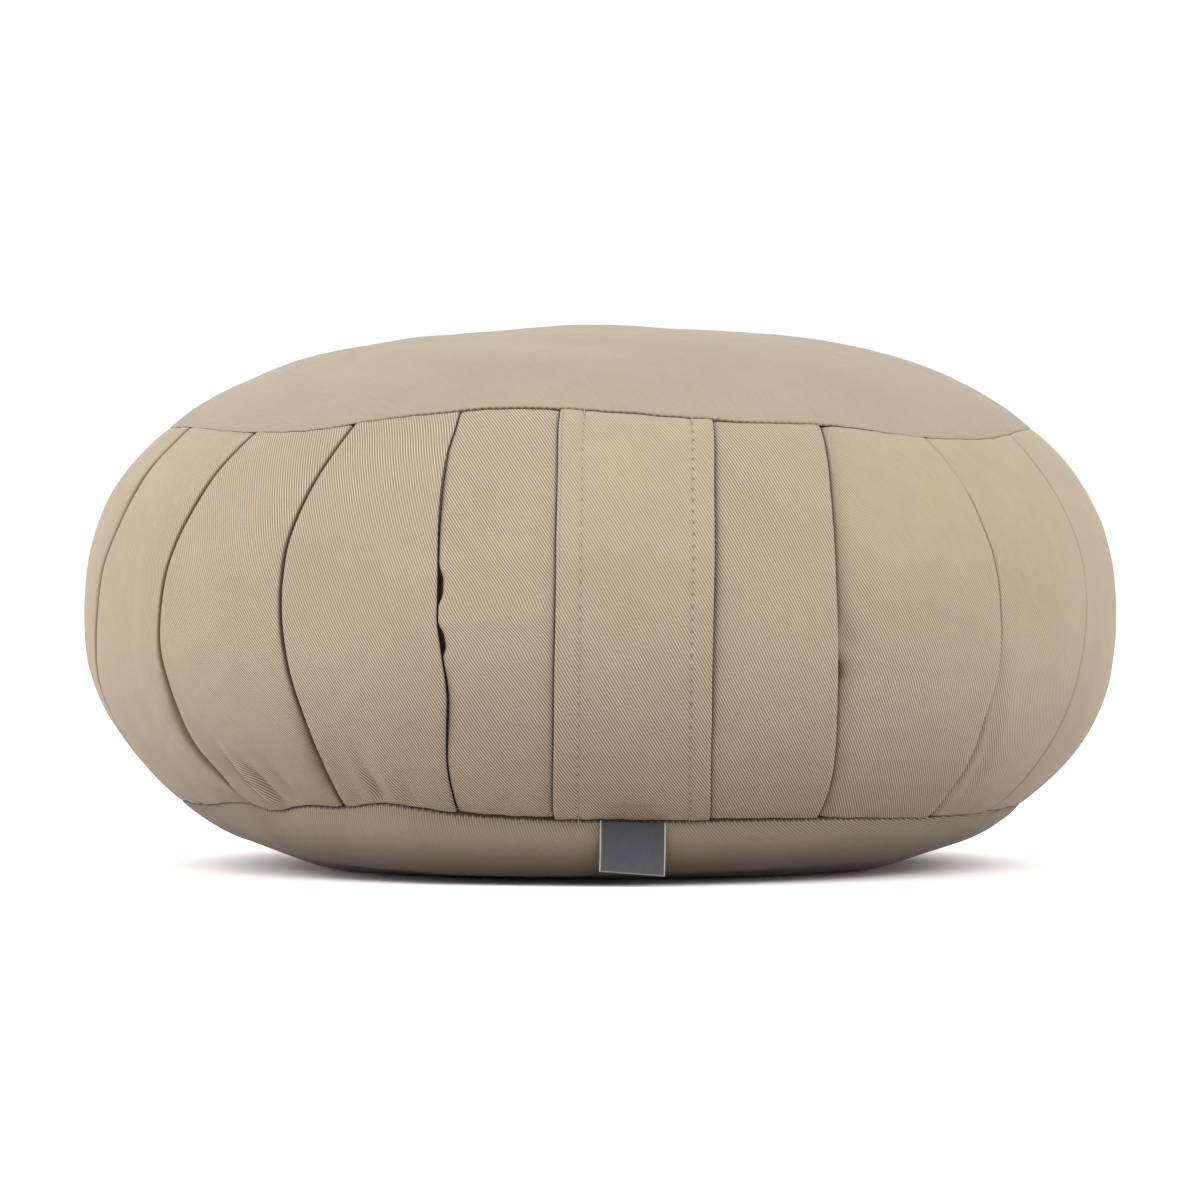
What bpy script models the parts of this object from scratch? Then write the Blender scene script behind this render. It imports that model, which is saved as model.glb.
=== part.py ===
"""Round meditation cushion: a pleated, filled side between two crowned round panels.

The cushion stands on its bottom panel. The origin is under its middle, on the surface it rests
on, +Z is up, and the straight strip over the filling's opening faces -Y. Lengths are in metres.
Angles are in degrees and run round the cushion from the front (-Y) towards +X. A depth is
measured in from the cushion's round outline, so a negative one stands proud of it.
"""
from collections import namedtuple

import bmesh
import bpy
import numpy as np

# The round outline: two halves of squared ellipses that meet at the widest round
RADIUS = 0.171
HEIGHT = 0.180
GIRTH_HEIGHT = 0.080
CROWN_SQUARENESS = 2.4
BASE_DEPTH = 0.094            # how far the lower half would hang if no floor pressed it flat
BASE_SQUARENESS = 2.2
REST_RADIUS = 0.090           # the flat round that lies on the floor
TURN_UP_RADIUS = 0.118        # where the underside has turned up into the round outline

# Cloth and seams
CLOTH = 0.0015
GAP = 0.0005                  # between pieces whose facets match
PANEL_GAP = 0.0007            # between a round panel and the body, whose facets differ
SEAM_DEPTH = 0.0020           # how far the side is drawn in at both seams
RIM_DEPTH = 0.0007            # how far a round panel's rim turns in at its seam
LEDGE_DEPTH = 0.0036          # how deep the body's step lies at both seams, under the rims
PUFF = 0.0010                 # how far the middle of a pleat swells

# Seam paths: the height of the seam at angles round the cushion
SeamRow = namedtuple("SeamRow", "angle height")
TOP_SEAM = (
    SeamRow(-150, 0.1420), SeamRow(-110, 0.1440), SeamRow(-66, 0.1432), SeamRow(-47, 0.1400),
    SeamRow(-38, 0.1396), SeamRow(-27, 0.1428), SeamRow(-10, 0.1458), SeamRow(0, 0.1445),
    SeamRow(17, 0.1415), SeamRow(28, 0.1410), SeamRow(42, 0.1378), SeamRow(53, 0.1382),
    SeamRow(70, 0.1426), SeamRow(105, 0.1445), SeamRow(140, 0.1415), SeamRow(178, 0.1435),
)
BOTTOM_SEAM = (
    SeamRow(-140, 0.0210), SeamRow(-95, 0.0225), SeamRow(-52, 0.0226), SeamRow(-44, 0.0214),
    SeamRow(-27, 0.0242), SeamRow(-18, 0.0217), SeamRow(0, 0.0200), SeamRow(28, 0.0196),
    SeamRow(49, 0.0187), SeamRow(80, 0.0205), SeamRow(120, 0.0215), SeamRow(175, 0.0200),
)

# Lines down the side: the angle at the bottom seam, at half height and at the top seam, and the
# profile of the cloth on each side of the line
SideLine = namedtuple("SideLine", "name bottom middle top before after")
FRONT_LINES = (
    SideLine("pleat_far_left", -68.0, -72.5, -65.0, "under", "over"),
    SideLine("pleat_mid_left", -50.0, -53.3, -46.0, "under", "over"),
    SideLine("pleat_near_left", -33.4, -34.3, -30.6, "under", "over"),
    SideLine("pleat_box_edge", -18.1, -16.5, -17.5, "over", "under"),
    SideLine("strip_left", -5.7, -4.4, -5.1, "beside", "bed"),
    SideLine("strip_right", 14.0, 11.5, 13.5, "bed", "beside"),
    SideLine("pleat_near_right", 29.0, 24.7, 27.3, "over", "under"),
    SideLine("pleat_mid_right", 48.8, 46.4, 42.0, "over", "under"),
    SideLine("pleat_far_right", 66.0, 64.3, 61.5, "over", "under"),
)
BACK_PLEATS = 11
BACK_PLEATS_FACING_RIGHT = 5

# How the cloth lies beside a line: distance from the line and depth below the outline
EdgeRow = namedtuple("EdgeRow", "inset depth")
BED_DEPTH = 0.0010            # the strip's seat, under its cloth and the gap
EDGE_PROFILES = {
    "over": (EdgeRow(0.0004, 0.0008), EdgeRow(0.0022, -0.0002), EdgeRow(0.0130, -PUFF)),
    "under": (EdgeRow(0.0, 0.0030), EdgeRow(0.0055, 0.0016), EdgeRow(0.0170, -0.0004)),
    "beside": (EdgeRow(0.0, BED_DEPTH), EdgeRow(0.0150, -0.0004)),
    "bed": (EdgeRow(0.0, BED_DEPTH),),
}
MIDDLE_DEPTHS = {"pleat": -PUFF, "bed": BED_DEPTH}
COLUMN_ANGLE = 6.5            # widest step between columns in the middle of a pleat

# Rows up the side: height from either seam, and how far the row is drawn in towards the seam
SeamEdgeRow = namedtuple("SeamEdgeRow", "distance drawn")
SIDE_SPAN = 0.122             # usual height from seam to seam
SEAM_EDGE_ROWS = (SeamEdgeRow(0.0, 1.0), SeamEdgeRow(0.0012, 0.5), SeamEdgeRow(0.0042, 0.0))
SIDE_SHARES = (0.12, 0.25, 0.39, 0.54, 0.68, 0.80, 0.90)
SEAM_PLEAT_SHARE = 0.6        # how much of a pleat's relief is left at the seams

# Round panels: steps from the seam (0) to the middle (1), and from the middle to the seam
PANEL_COLUMNS = 56
CROWN_SHARES = (0.006, 0.026, 0.08, 0.16, 0.28, 0.45, 0.70)
BASE_SHARES = (0.73, 0.82, 0.92, 0.978, 0.994)

# Seam label: it hangs from the bottom seam, a little right of the middle
LABEL_WIDTH = 0.020
LABEL_CENTRE_X = 0.0099
LABEL_THICKNESS = 0.0010
LABEL_TILT = 2.0              # its lower edge drops to the right
LABEL_TOP = (0.1381, 0.0197)  # distance from the middle, height
LABEL_BELLY = (0.1390, 0.0130)
LABEL_END = (0.1352, 0.0042)
LABEL_STEPS = 6

# Finishes: linear colour and roughness
TWILL = ((0.46, 0.38, 0.27), 0.9)
LABEL_RIBBON = ((0.08, 0.083, 0.09), 0.7)

SHARP_ANGLE = 40              # degrees above which an edge is shaded sharp
DIRECTION_STEP = 0.0005       # share of a meridian over which its direction is measured
SLOPE_STEP = 0.0001           # distance over which the outline's slope is measured


# ---------------------------------------------------------------------------- outline and seams
def seam_height(angles, table):
    """Height of a seam at some angles, on one smooth closed curve through its table."""
    last, first = table[-2:], table[:3]
    before = [SeamRow(row.angle - 360, row.height) for row in last]
    after = [SeamRow(row.angle + 360, row.height) for row in first]
    knots, heights = np.array(before + list(table) + after).T
    slopes = np.gradient(heights, knots)
    wrapped = (np.asarray(angles) - table[0].angle) % 360 + table[0].angle
    low = np.searchsorted(knots, wrapped, side="right") - 1
    span = knots[low + 1] - knots[low]
    share = (wrapped - knots[low]) / span
    rest = 1 - share
    near = heights[low] * (1 + 2 * share) + slopes[low] * span * share
    far = heights[low + 1] * (3 - 2 * share) - slopes[low + 1] * span * rest
    return near * rest**2 + far * share**2


def crown_height(radius):
    """Height of the upper half of the outline at a distance from the middle."""
    rise = (1 - (np.abs(radius) / RADIUS) ** CROWN_SQUARENESS) ** (1 / CROWN_SQUARENESS)
    return GIRTH_HEIGHT + (HEIGHT - GIRTH_HEIGHT) * rise


def free_base_height(radius):
    """Height of the lower half of the outline, before the floor flattens it."""
    drop = (1 - (np.abs(radius) / RADIUS) ** BASE_SQUARENESS) ** (1 / BASE_SQUARENESS)
    return GIRTH_HEIGHT - BASE_DEPTH * drop


def base_height(radius):
    """Height of the underside: flat in the middle, then turned up into the outline."""
    radius = np.abs(radius)
    end = free_base_height(TURN_UP_RADIUS)
    slope = (free_base_height(TURN_UP_RADIUS + SLOPE_STEP) - end) / SLOPE_STEP
    width = TURN_UP_RADIUS - REST_RADIUS
    share = np.clip((radius - REST_RADIUS) / width, 0, 1)
    turn_up = end * share**2 * (3 - 2 * share) - slope * width * share**2 * (1 - share)
    return np.where(radius < TURN_UP_RADIUS, turn_up, free_base_height(radius))


def side_radius(height):
    """Distance of the outline from the middle at a height on the side."""
    upper = height > GIRTH_HEIGHT
    depth = np.where(upper, HEIGHT - GIRTH_HEIGHT, BASE_DEPTH)
    squareness = np.where(upper, CROWN_SQUARENESS, BASE_SQUARENESS)
    share = np.abs(height - GIRTH_HEIGHT) / depth
    return RADIUS * (1 - share**squareness) ** (1 / squareness)


# ------------------------------------------------------------------------------------ meridians
def crown_line(angles):
    """Meridian over the top, from the top seam (0) to the middle (1)."""
    edge = side_radius(seam_height(angles, TOP_SEAM))

    def point(share):
        radius = edge * (1 - share)
        return radius, crown_height(radius)

    return point


def side_line(angles):
    """Meridian up the side, from the bottom seam (0) to the top seam (1)."""
    low = seam_height(angles, BOTTOM_SEAM)
    high = seam_height(angles, TOP_SEAM)

    def point(share):
        height = low + (high - low) * share
        return side_radius(height), height

    return point


def base_line(angles):
    """Meridian under the cushion, from the middle (0) to the bottom seam (1)."""
    edge = side_radius(seam_height(angles, BOTTOM_SEAM))

    def point(share):
        radius = edge * share
        return radius, base_height(radius)

    return point


def ring(angles, line, share, depth):
    """Points round the cushion at one share of their meridians, moved in by a depth."""
    radius, height = line(share)
    next_radius, next_height = line(share + DIRECTION_STEP)
    last_radius, last_height = line(share - DIRECTION_STEP)
    run = next_radius - last_radius
    rise = next_height - last_height
    length = np.hypot(run, rise)
    radius = radius - depth * rise / length
    height = height + depth * run / length
    turn = np.radians(angles)
    return np.column_stack([radius * np.sin(turn), -radius * np.cos(turn), height])


# ------------------------------------------------------------------------------------- the side
def side_lines():
    """All lines round the side in order: the front's, then evenly spaced pleats at the back."""
    start = FRONT_LINES[-1]
    finish = FRONT_LINES[0]
    lines = list(FRONT_LINES)
    for number in range(1, BACK_PLEATS + 1):
        share = number / (BACK_PLEATS + 1)
        faces_right = number <= BACK_PLEATS_FACING_RIGHT
        lines.append(SideLine(
            f"pleat_back_{number}",
            start.bottom + (finish.bottom + 360 - start.bottom) * share,
            start.middle + (finish.middle + 360 - start.middle) * share,
            start.top + (finish.top + 360 - start.top) * share,
            "over" if faces_right else "under",
            "under" if faces_right else "over",
        ))
    return lines


def line_angle(line, share):
    """Angle of a side line at a share of the height, bowed through its three angles."""
    low = line.bottom * (1 - share) * (1 - 2 * share)
    mid = line.middle * 4 * share * (1 - share)
    return low + mid + line.top * share * (2 * share - 1)


def panel_columns(left, right, share, turn=0):
    """Angles and depths across one pleat, from the line on its left to the line on its right."""
    start = line_angle(left, share)
    finish = line_angle(right, share) + turn
    degrees_per_metre = np.degrees(1 / RADIUS)
    entering = EDGE_PROFILES[left.after]
    leaving = EDGE_PROFILES[right.before]
    first = start + entering[-1].inset * degrees_per_metre
    last = finish - leaving[-1].inset * degrees_per_metre
    steps = max(2, round((right.middle + turn - left.middle) / COLUMN_ANGLE) - 1)
    middle = MIDDLE_DEPTHS["bed" if left.after == "bed" else "pleat"]
    if leaving[0].inset == EDGE_PROFILES[right.after][0].inset:
        leaving = leaving[1:]
    columns = [(start + row.inset * degrees_per_metre, row.depth) for row in entering]
    columns += [(first + (last - first) * step / steps, middle) for step in range(1, steps)]
    columns += [(finish - row.inset * degrees_per_metre, row.depth) for row in reversed(leaving)]
    return columns


def side_row(lines, share):
    """Angles and depths of one row of columns, all the way round."""
    columns = []
    for left, right in zip(lines, lines[1:] + lines[:1]):
        turn = 360 if right is lines[0] else 0
        columns += panel_columns(left, right, share, turn)
    return np.array(columns).T


def rows_up_the_side():
    """Share of the height of each row, and how far it is drawn in towards a seam."""
    rows = [(edge.distance / SIDE_SPAN, edge.drawn) for edge in SEAM_EDGE_ROWS]
    rows += [(share, 0.0) for share in SIDE_SHARES]
    rows += [(1 - edge.distance / SIDE_SPAN, edge.drawn) for edge in reversed(SEAM_EDGE_ROWS)]
    return rows


def pleat_relief(share):
    """Share of a pleat's relief at a share of the height: full in the middle, less at seams."""
    return SEAM_PLEAT_SHARE + (1 - SEAM_PLEAT_SHARE) * np.sin(np.pi * share)


def drawn_depth(depths, share, drawn):
    """Depths of a row's columns, with the pleats flattened and drawn in towards a seam."""
    return depths * pleat_relief(share) * (1 - drawn) + SEAM_DEPTH * drawn


def side_rings(lines):
    """Rings up the pleated side, from the bottom seam to the top seam."""
    rings = []
    for share, drawn in rows_up_the_side():
        angles, depths = side_row(lines, share)
        rings.append(ring(angles, side_line(angles), share, drawn_depth(depths, share, drawn)))
    return rings


def body_rings():
    """Rings of the filled body: under the cushion, up its pleated side and over its crown."""
    lines = side_lines()
    under = CLOTH + PANEL_GAP
    low_angles, _ = side_row(lines, 0.0)
    high_angles, _ = side_row(lines, 1.0)
    base = base_line(low_angles)
    crown = crown_line(high_angles)
    rest_share = REST_RADIUS / base(1.0)[0]
    rings = [ring(low_angles, base, share, under) for share in (rest_share, *BASE_SHARES[:-1])]
    rings.append(ring(low_angles, base, 1.0, LEDGE_DEPTH))
    rings += side_rings(lines)
    rings.append(ring(high_angles, crown, 0.0, LEDGE_DEPTH))
    rings += [ring(high_angles, crown, share, under) for share in CROWN_SHARES[1:]]
    return rings


# -------------------------------------------------------------------------------- other pieces
def crown_panel_rings():
    """Rings of the top panel: its outer face from the middle to the rim, then its inner face."""
    angles = np.arange(PANEL_COLUMNS) * 360 / PANEL_COLUMNS
    crown = crown_line(angles)
    turned_in = [RIM_DEPTH] + [0.0] * (len(CROWN_SHARES) - 1)
    steps = list(zip(CROWN_SHARES, turned_in))
    rings = [ring(angles, crown, share, depth) for share, depth in reversed(steps)]
    rings += [ring(angles, crown, share, depth + CLOTH) for share, depth in steps]
    return rings


def base_panel_rings():
    """Rings of the bottom panel: its flat underside, out to the rim, and back inside."""
    angles = np.arange(PANEL_COLUMNS) * 360 / PANEL_COLUMNS
    base = base_line(angles)
    rest_share = REST_RADIUS / base(1.0)[0]
    turned_in = [0.0] * len(BASE_SHARES) + [RIM_DEPTH]
    steps = list(zip([rest_share, *BASE_SHARES], turned_in))
    rings = [ring(angles, base, share, depth) for share, depth in steps]
    rings += [ring(angles, base, share, depth + CLOTH) for share, depth in reversed(steps)]
    return rings


def strip_rings():
    """Loops up the opening strip, each across its outer face and back across its inner face."""
    left, right = (line for line in side_lines() if line.name.startswith("strip"))
    row_shares, row_drawn = np.array(rows_up_the_side()).T
    shares = np.clip(row_shares, GAP / SIDE_SPAN, 1 - GAP / SIDE_SPAN)
    loops = []
    for share, drawn in zip(shares, np.interp(shares, row_shares, row_drawn)):
        angles = [angle for angle, _ in panel_columns(left, right, share)]
        angles.append(line_angle(right, share))
        inner = drawn_depth(BED_DEPTH, share, drawn) - GAP
        line = side_line(angles)
        outer_face = ring(angles, line, share, inner - CLOTH)
        inner_face = ring(angles, line, share, inner)
        loops.append(np.concatenate([outer_face, inner_face[::-1]]))
    return loops


def label_rings():
    """Loops down the label, which hangs on a soft bow from the seam and is a little tilted."""
    turn = np.arcsin(LABEL_CENTRE_X / LABEL_TOP[0])
    across = np.array([np.cos(turn), np.sin(turn)])
    outward = np.array([np.sin(turn), -np.cos(turn)])
    loops = []
    for share in np.linspace(0, 1, LABEL_STEPS):
        rest = 1 - share
        reach, height = (
            rest**2 * top + 2 * share * rest * belly + share**2 * end
            for top, belly, end in zip(LABEL_TOP, LABEL_BELLY, LABEL_END)
        )
        loop = []
        for side, thickness in ((-1, 1), (1, 1), (1, 0), (-1, 0)):
            plan = outward * (reach + LABEL_THICKNESS * thickness) + across * side * LABEL_WIDTH / 2
            drop = side * share * np.tan(np.radians(LABEL_TILT)) * LABEL_WIDTH / 2
            loop.append((plan[0], plan[1], height - drop))
        loops.append(np.array(loop))
    return loops


# ------------------------------------------------------------------------------------- building
def cloth_material(name, finish):
    """Principled material of one cloth, from its colour and roughness."""
    colour, roughness = finish
    material = bpy.data.materials.new(name)
    material.use_nodes = True
    shader = material.node_tree.nodes["Principled BSDF"]
    shader.inputs["Base Color"].default_value = (*colour, 1.0)
    shader.inputs["Roughness"].default_value = roughness
    shader.inputs["Metallic"].default_value = 0.0
    return material


def loft(name, rings, material, start=None, end=None):
    """Object skinned over rings of points; an end is closed by a face, or drawn to a point."""
    mesh = bmesh.new()
    loops = [[mesh.verts.new(point) for point in points] for points in rings]
    for here, there in zip(loops, loops[1:]):
        for index in range(len(here)):
            back = index - 1
            mesh.faces.new((here[back], here[index], there[index], there[back]))
    for loop, point in ((loops[0], start), (loops[-1], end)):
        if point is None:
            mesh.faces.new(loop)
            continue
        tip = mesh.verts.new(point)
        for index in range(len(loop)):
            mesh.faces.new((loop[index - 1], loop[index], tip))
    bmesh.ops.recalc_face_normals(mesh, faces=mesh.faces)
    data = bpy.data.meshes.new(name)
    mesh.to_mesh(data)
    mesh.free()
    data.materials.append(material)
    data.shade_smooth()
    data.set_sharp_from_angle(angle=np.radians(SHARP_ANGLE))
    piece = bpy.data.objects.new(name, data)
    bpy.context.scene.collection.objects.link(piece)
    return piece


def middle_point(height):
    """Point in the middle of the cushion at a height."""
    return (0.0, 0.0, height)


def main():
    """Build the cushion's pieces."""
    for old in list(bpy.data.objects):
        bpy.data.objects.remove(old)
    loft(
        "pleated_body", body_rings(), cloth_material("side_twill", TWILL),
        end=middle_point(HEIGHT - CLOTH - PANEL_GAP),
    )
    loft(
        "top_panel", crown_panel_rings(), cloth_material("top_twill", TWILL),
        start=middle_point(HEIGHT), end=middle_point(HEIGHT - CLOTH),
    )
    loft("bottom_panel", base_panel_rings(), cloth_material("base_twill", TWILL))
    loft("opening_strip", strip_rings(), cloth_material("strip_twill", TWILL))
    loft("seam_label", label_rings(), cloth_material("label_weave", LABEL_RIBBON))


main()
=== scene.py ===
"""Round meditation cushion in cotton twill: a pleated, filled band between two round panels.

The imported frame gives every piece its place. Lengths are in metres: the origin is under the
cushion's middle on the floor, +Z is up and the opening strip faces -Y. Angles are in degrees
round the cushion, from the front towards +X. A place on the cloth is an angle and a travel,
which is the distance along the outline from the middle of the underside, out round the side and
in to the middle of the top. A depth is measured in from the outline, so a negative one is proud.
"""
import logging
from dataclasses import dataclass, field
from enum import Enum
from functools import partial
from typing import Any, Sequence

import bmesh
import bpy
import numpy as np
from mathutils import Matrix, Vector
from mathutils.kdtree import KDTree


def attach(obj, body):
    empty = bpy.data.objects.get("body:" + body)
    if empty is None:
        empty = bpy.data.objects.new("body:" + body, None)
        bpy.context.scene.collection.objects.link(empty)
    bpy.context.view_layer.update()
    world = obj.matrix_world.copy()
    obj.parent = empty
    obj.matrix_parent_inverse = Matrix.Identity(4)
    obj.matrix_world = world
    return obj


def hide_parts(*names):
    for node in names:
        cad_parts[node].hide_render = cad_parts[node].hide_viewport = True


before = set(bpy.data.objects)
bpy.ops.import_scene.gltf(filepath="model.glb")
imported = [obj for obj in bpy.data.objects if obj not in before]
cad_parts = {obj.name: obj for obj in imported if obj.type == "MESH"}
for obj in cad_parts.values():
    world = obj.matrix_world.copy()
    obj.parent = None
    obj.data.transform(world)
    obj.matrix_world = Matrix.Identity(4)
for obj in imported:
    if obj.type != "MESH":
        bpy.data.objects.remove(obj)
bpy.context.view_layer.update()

MM = 0.001
BODY = "root"
UV_NAME = "cloth"             # UV map in metres along and up the cloth
FOLD_NAME = "fold"            # attribute, 0 to 1: how far inside a fold or seam the cloth lies, painted as shade; also holds other painted shade
SEAM_NAME = "seam"            # attribute: how near the sewn line of a seam the cloth lies, 0 to 1, for its painted shade line
ALONG_NAME = "along"          # attribute: metres along the seam
STITCH_NAME = "stitch"        # attribute: how near a row of topstitching the cloth lies, 0 to 1
WORN_NAME = "worn"            # attribute: how far the ribs are pressed flat, 0 to 1
FOLD_START, FOLD_FULL = 0.35 * MM, 2.2 * MM  # depths where the painted shade of a fold starts and is full
FULL_TURN = 360.0
MERGE_DISTANCE = 0.0002 * MM  # points closer than this are one point
WAVE_TURN = 2 * np.pi / 20    # scale at which a wave texture repeats once a metre
ROLL_SHARE = 0.6              # how much of a seam's own depth counts as being inside a fold

log = logging.getLogger("cushion")

Array = np.ndarray
Knots = tuple[tuple[float, float], ...]
Tree = bpy.types.NodeTree
Socket = bpy.types.NodeSocket
Object = bpy.types.Object
Material = bpy.types.Material


# -------------------------------------------------------------------------------- small helpers
def to_linear(hex_colour: str) -> tuple[float, float, float, float]:
    """Linear colour of an sRGB hex value.

    Args:
        hex_colour: Six hex digits, with or without a leading #.

    Returns:
        Linear red, green and blue, and an alpha of one.
    """
    digits = hex_colour.lstrip("#")
    linear = []
    for start in (0, 2, 4):
        value = int(digits[start:start + 2], 16) / 255
        linear.append(value / 12.92 if value <= 0.04045 else ((value + 0.055) / 1.055) ** 2.4)
    return (linear[0], linear[1], linear[2], 1.0)


def add_node(
    tree: Tree, kind: str, links: dict[str | int, Any] | None = None, out: str | int = 0,
    **settings: Any,
) -> Socket | None:
    """Add a node, set its properties and fill its inputs.

    Args:
        tree: Node tree that gets the node.
        kind: Node type, such as ShaderNodeMath.
        links: Input name or number to a socket that feeds it, or to a plain value.
        out: Name or number of the wanted output.
        **settings: Node properties.

    Returns:
        That output, whose own node leads to the others, or None if the node has none.
    """
    node = tree.nodes.new(kind)
    for name, value in settings.items():
        setattr(node, name, value)
    for name, value in (links or {}).items():
        if isinstance(value, Socket):
            tree.links.new(value, node.inputs[name])
        else:
            node.inputs[name].default_value = value
    return node.outputs[out] if node.outputs else None


def smooth_curve(knots: Knots, places: Array) -> Array:
    """Values of a smooth curve through its knots, held level beyond both ends.

    Args:
        knots: Rising places, each with its value.
        places: Where to read the curve.

    Returns:
        The curve's value at each place.
    """
    at, values = np.array(knots, float).T
    slopes = np.gradient(values, at)
    held = np.clip(places, at[0], at[-1])
    low = np.clip(np.searchsorted(at, held, side="right") - 1, 0, len(at) - 2)
    span = at[low + 1] - at[low]
    share = (held - at[low]) / span
    rest = 1 - share
    near = values[low] * (1 + 2 * share) + slopes[low] * span * share
    far = values[low + 1] * (3 - 2 * share) - slopes[low + 1] * span * rest
    return near * rest**2 + far * share**2


def eased(share: Array) -> Array:
    """Share that leaves nought and reaches one gently."""
    return share**2 * (3 - 2 * share)


def points_of(data: bpy.types.Mesh) -> Array:
    """Read the points of a mesh.

    Args:
        data: The mesh.

    Returns:
        Points, one to a row.
    """
    points = np.empty(len(data.vertices) * 3)
    data.vertices.foreach_get("co", points)
    return points.reshape(-1, 3)


def in_scene(name: str, data: bpy.types.ID) -> Object:
    """Make an object and link it to the scene.

    Args:
        name: Name of the object.
        data: Mesh, lamp or camera that it shows.

    Returns:
        The object.
    """
    item = bpy.data.objects.new(name, data)
    bpy.context.scene.collection.objects.link(item)
    return item


# ------------------------------------------------------------------------------------- outline
@dataclass(frozen=True)
class RoundCurve:
    """Value that changes smoothly round the cushion, given at rising angles."""

    knots: Knots

    def at(self, angles: Array) -> Array:
        """Read the value at some angles.

        Args:
            angles: Angles round the cushion, in degrees.

        Returns:
            The value at each angle.
        """
        first = self.knots[0][0]
        before = tuple((angle - FULL_TURN, value) for angle, value in self.knots[-2:])
        after = tuple((angle + FULL_TURN, value) for angle, value in self.knots[:3])
        wrapped = (np.asarray(angles, float) - first) % FULL_TURN + first
        return smooth_curve(before + self.knots + after, wrapped)


@dataclass
class Outline:
    """Round outline that the filling presses the cloth into: two halves of squared ellipses."""

    radius: float = 0.171
    height: float = 0.180
    girth_height: float = 0.080
    crown_squareness: float = 2.4
    sat_hollow: float = 2.4 * MM  # how far sitting has flattened the middle of the crown
    sat_radius: float = 0.115
    base_depth: float = 0.094
    base_squareness: float = 2.2
    rest_radius: float = 0.090
    turn_up_radius: float = 0.118
    top_seam: RoundCurve = RoundCurve((
        (-150, 0.1420), (-110, 0.1440), (-66, 0.1432), (-47, 0.1400), (-38, 0.1396), (-27, 0.1428),
        (-10, 0.1458), (0, 0.1445), (17, 0.1415), (28, 0.1410), (42, 0.1378), (53, 0.1382),
        (70, 0.1426), (105, 0.1445), (140, 0.1415), (178, 0.1435),
    ))
    bottom_seam: RoundCurve = RoundCurve((
        (-140, 0.0210), (-95, 0.0216), (-72, 0.0213), (-62, 0.0217), (-55, 0.0230), (-50.5, 0.0230),
        (-47.5, 0.0212), (-44, 0.0217), (-40.5, 0.0230), (-34, 0.0229), (-28, 0.0243), (-18, 0.0217),
        (0, 0.0200), (28, 0.0196), (49, 0.0187), (80, 0.0205), (120, 0.0215), (175, 0.0200),
    ))
    # its weight lets the underside down into a round lip that overhangs the floor a little
    rest_reach: float = 0.086     # travel at which the cloth leaves the floor
    lip_radius: float = 0.121     # where the lip is lowest
    lip_height: float = 2.6 * MM
    lip_run: float = 0.026        # travel from there to the seam
    rest_share: RoundCurve = RoundCurve((
        (-150, 0.6), (-110, 0.1), (-80, 0.0), (-62, 0.1), (-45, 0.6), (-30, 0.95), (2, 1.0),
        (20, 0.8), (38, 0.5), (60, 0.30), (85, 0.32), (120, 0.3), (160, 0.6),
    ))
    floor_clear: float = 1.0 * MM  # the side begins above this height
    samples: int = 3000

    def __post_init__(self) -> None:
        """Trace the outline once, from the middle of the underside to the middle of the top."""
        turn = np.linspace(0, np.pi / 2, self.samples)
        inner = np.linspace(0, self.turn_up_radius, self.samples // 2, endpoint=False)
        wide = self.radius * np.sin(turn) ** (2 / self.base_squareness)
        low = wide[wide >= self.turn_up_radius]
        base_radii = np.concatenate([inner, low])
        base_heights = self._base_height(base_radii)
        crown_radii = self.radius * np.sin(turn[::-1][1:]) ** (2 / self.crown_squareness)
        crown_heights = self._crown_height(crown_radii)
        self._r = np.concatenate([base_radii, crown_radii])
        self._z = np.concatenate([base_heights, crown_heights])
        steps = np.hypot(np.diff(self._r), np.diff(self._z))
        self._t = np.concatenate([[0.0], np.cumsum(steps)])
        run, rise = np.gradient(self._r, self._t), np.gradient(self._z, self._t)
        length = np.hypot(run, rise)
        self._out_r, self._out_z = rise / length, -run / length
        self.total = float(self._t[-1])
        self.girth_travel = float(self._t[len(base_radii) - 1])

    def _crown_height(self, radius: Array) -> Array:
        """Trace the upper half.

        Args:
            radius: Distances from the middle.

        Returns:
            Heights.
        """
        rise = np.clip(1 - (radius / self.radius) ** self.crown_squareness, 0, 1)
        crown = (self.height - self.girth_height) * rise ** (1 / self.crown_squareness)
        sat = np.clip(1 - (radius / self.sat_radius) ** 2, 0, 1) ** 1.5
        return self.girth_height + crown - self.sat_hollow * sat

    def _free_base_height(self, radius: Array) -> Array:
        """Height of the lower half, before the floor flattens it."""
        drop = np.clip(1 - (radius / self.radius) ** self.base_squareness, 0, 1)
        return self.girth_height - self.base_depth * drop ** (1 / self.base_squareness)

    def _base_height(self, radius: Array) -> Array:
        """Trace the underside: flat in the middle, then turned up into the outline.

        Args:
            radius: Distances from the middle.

        Returns:
            Heights.
        """
        step = 0.1 * MM
        end = self._free_base_height(self.turn_up_radius)
        slope = (self._free_base_height(self.turn_up_radius + step) - end) / step
        width = self.turn_up_radius - self.rest_radius
        share = np.clip((radius - self.rest_radius) / width, 0, 1)
        turn_up = end * eased(share) - slope * width * share**2 * (1 - share)
        return np.where(radius < self.turn_up_radius, turn_up, self._free_base_height(radius))

    def travel_at(self, height: Array) -> Array:
        """Travel at a height on the side."""
        side = self._z > self.floor_clear
        return np.interp(height, self._z[side], self._t[side])

    def height_at(self, travel: Array) -> Array:
        """Height of the outline at a travel."""
        return np.interp(travel, self._t, self._z)

    def radius_at(self, travel: Array) -> Array:
        """Distance of the outline from the middle at a travel."""
        return np.interp(travel, self._t, self._r)

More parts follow.
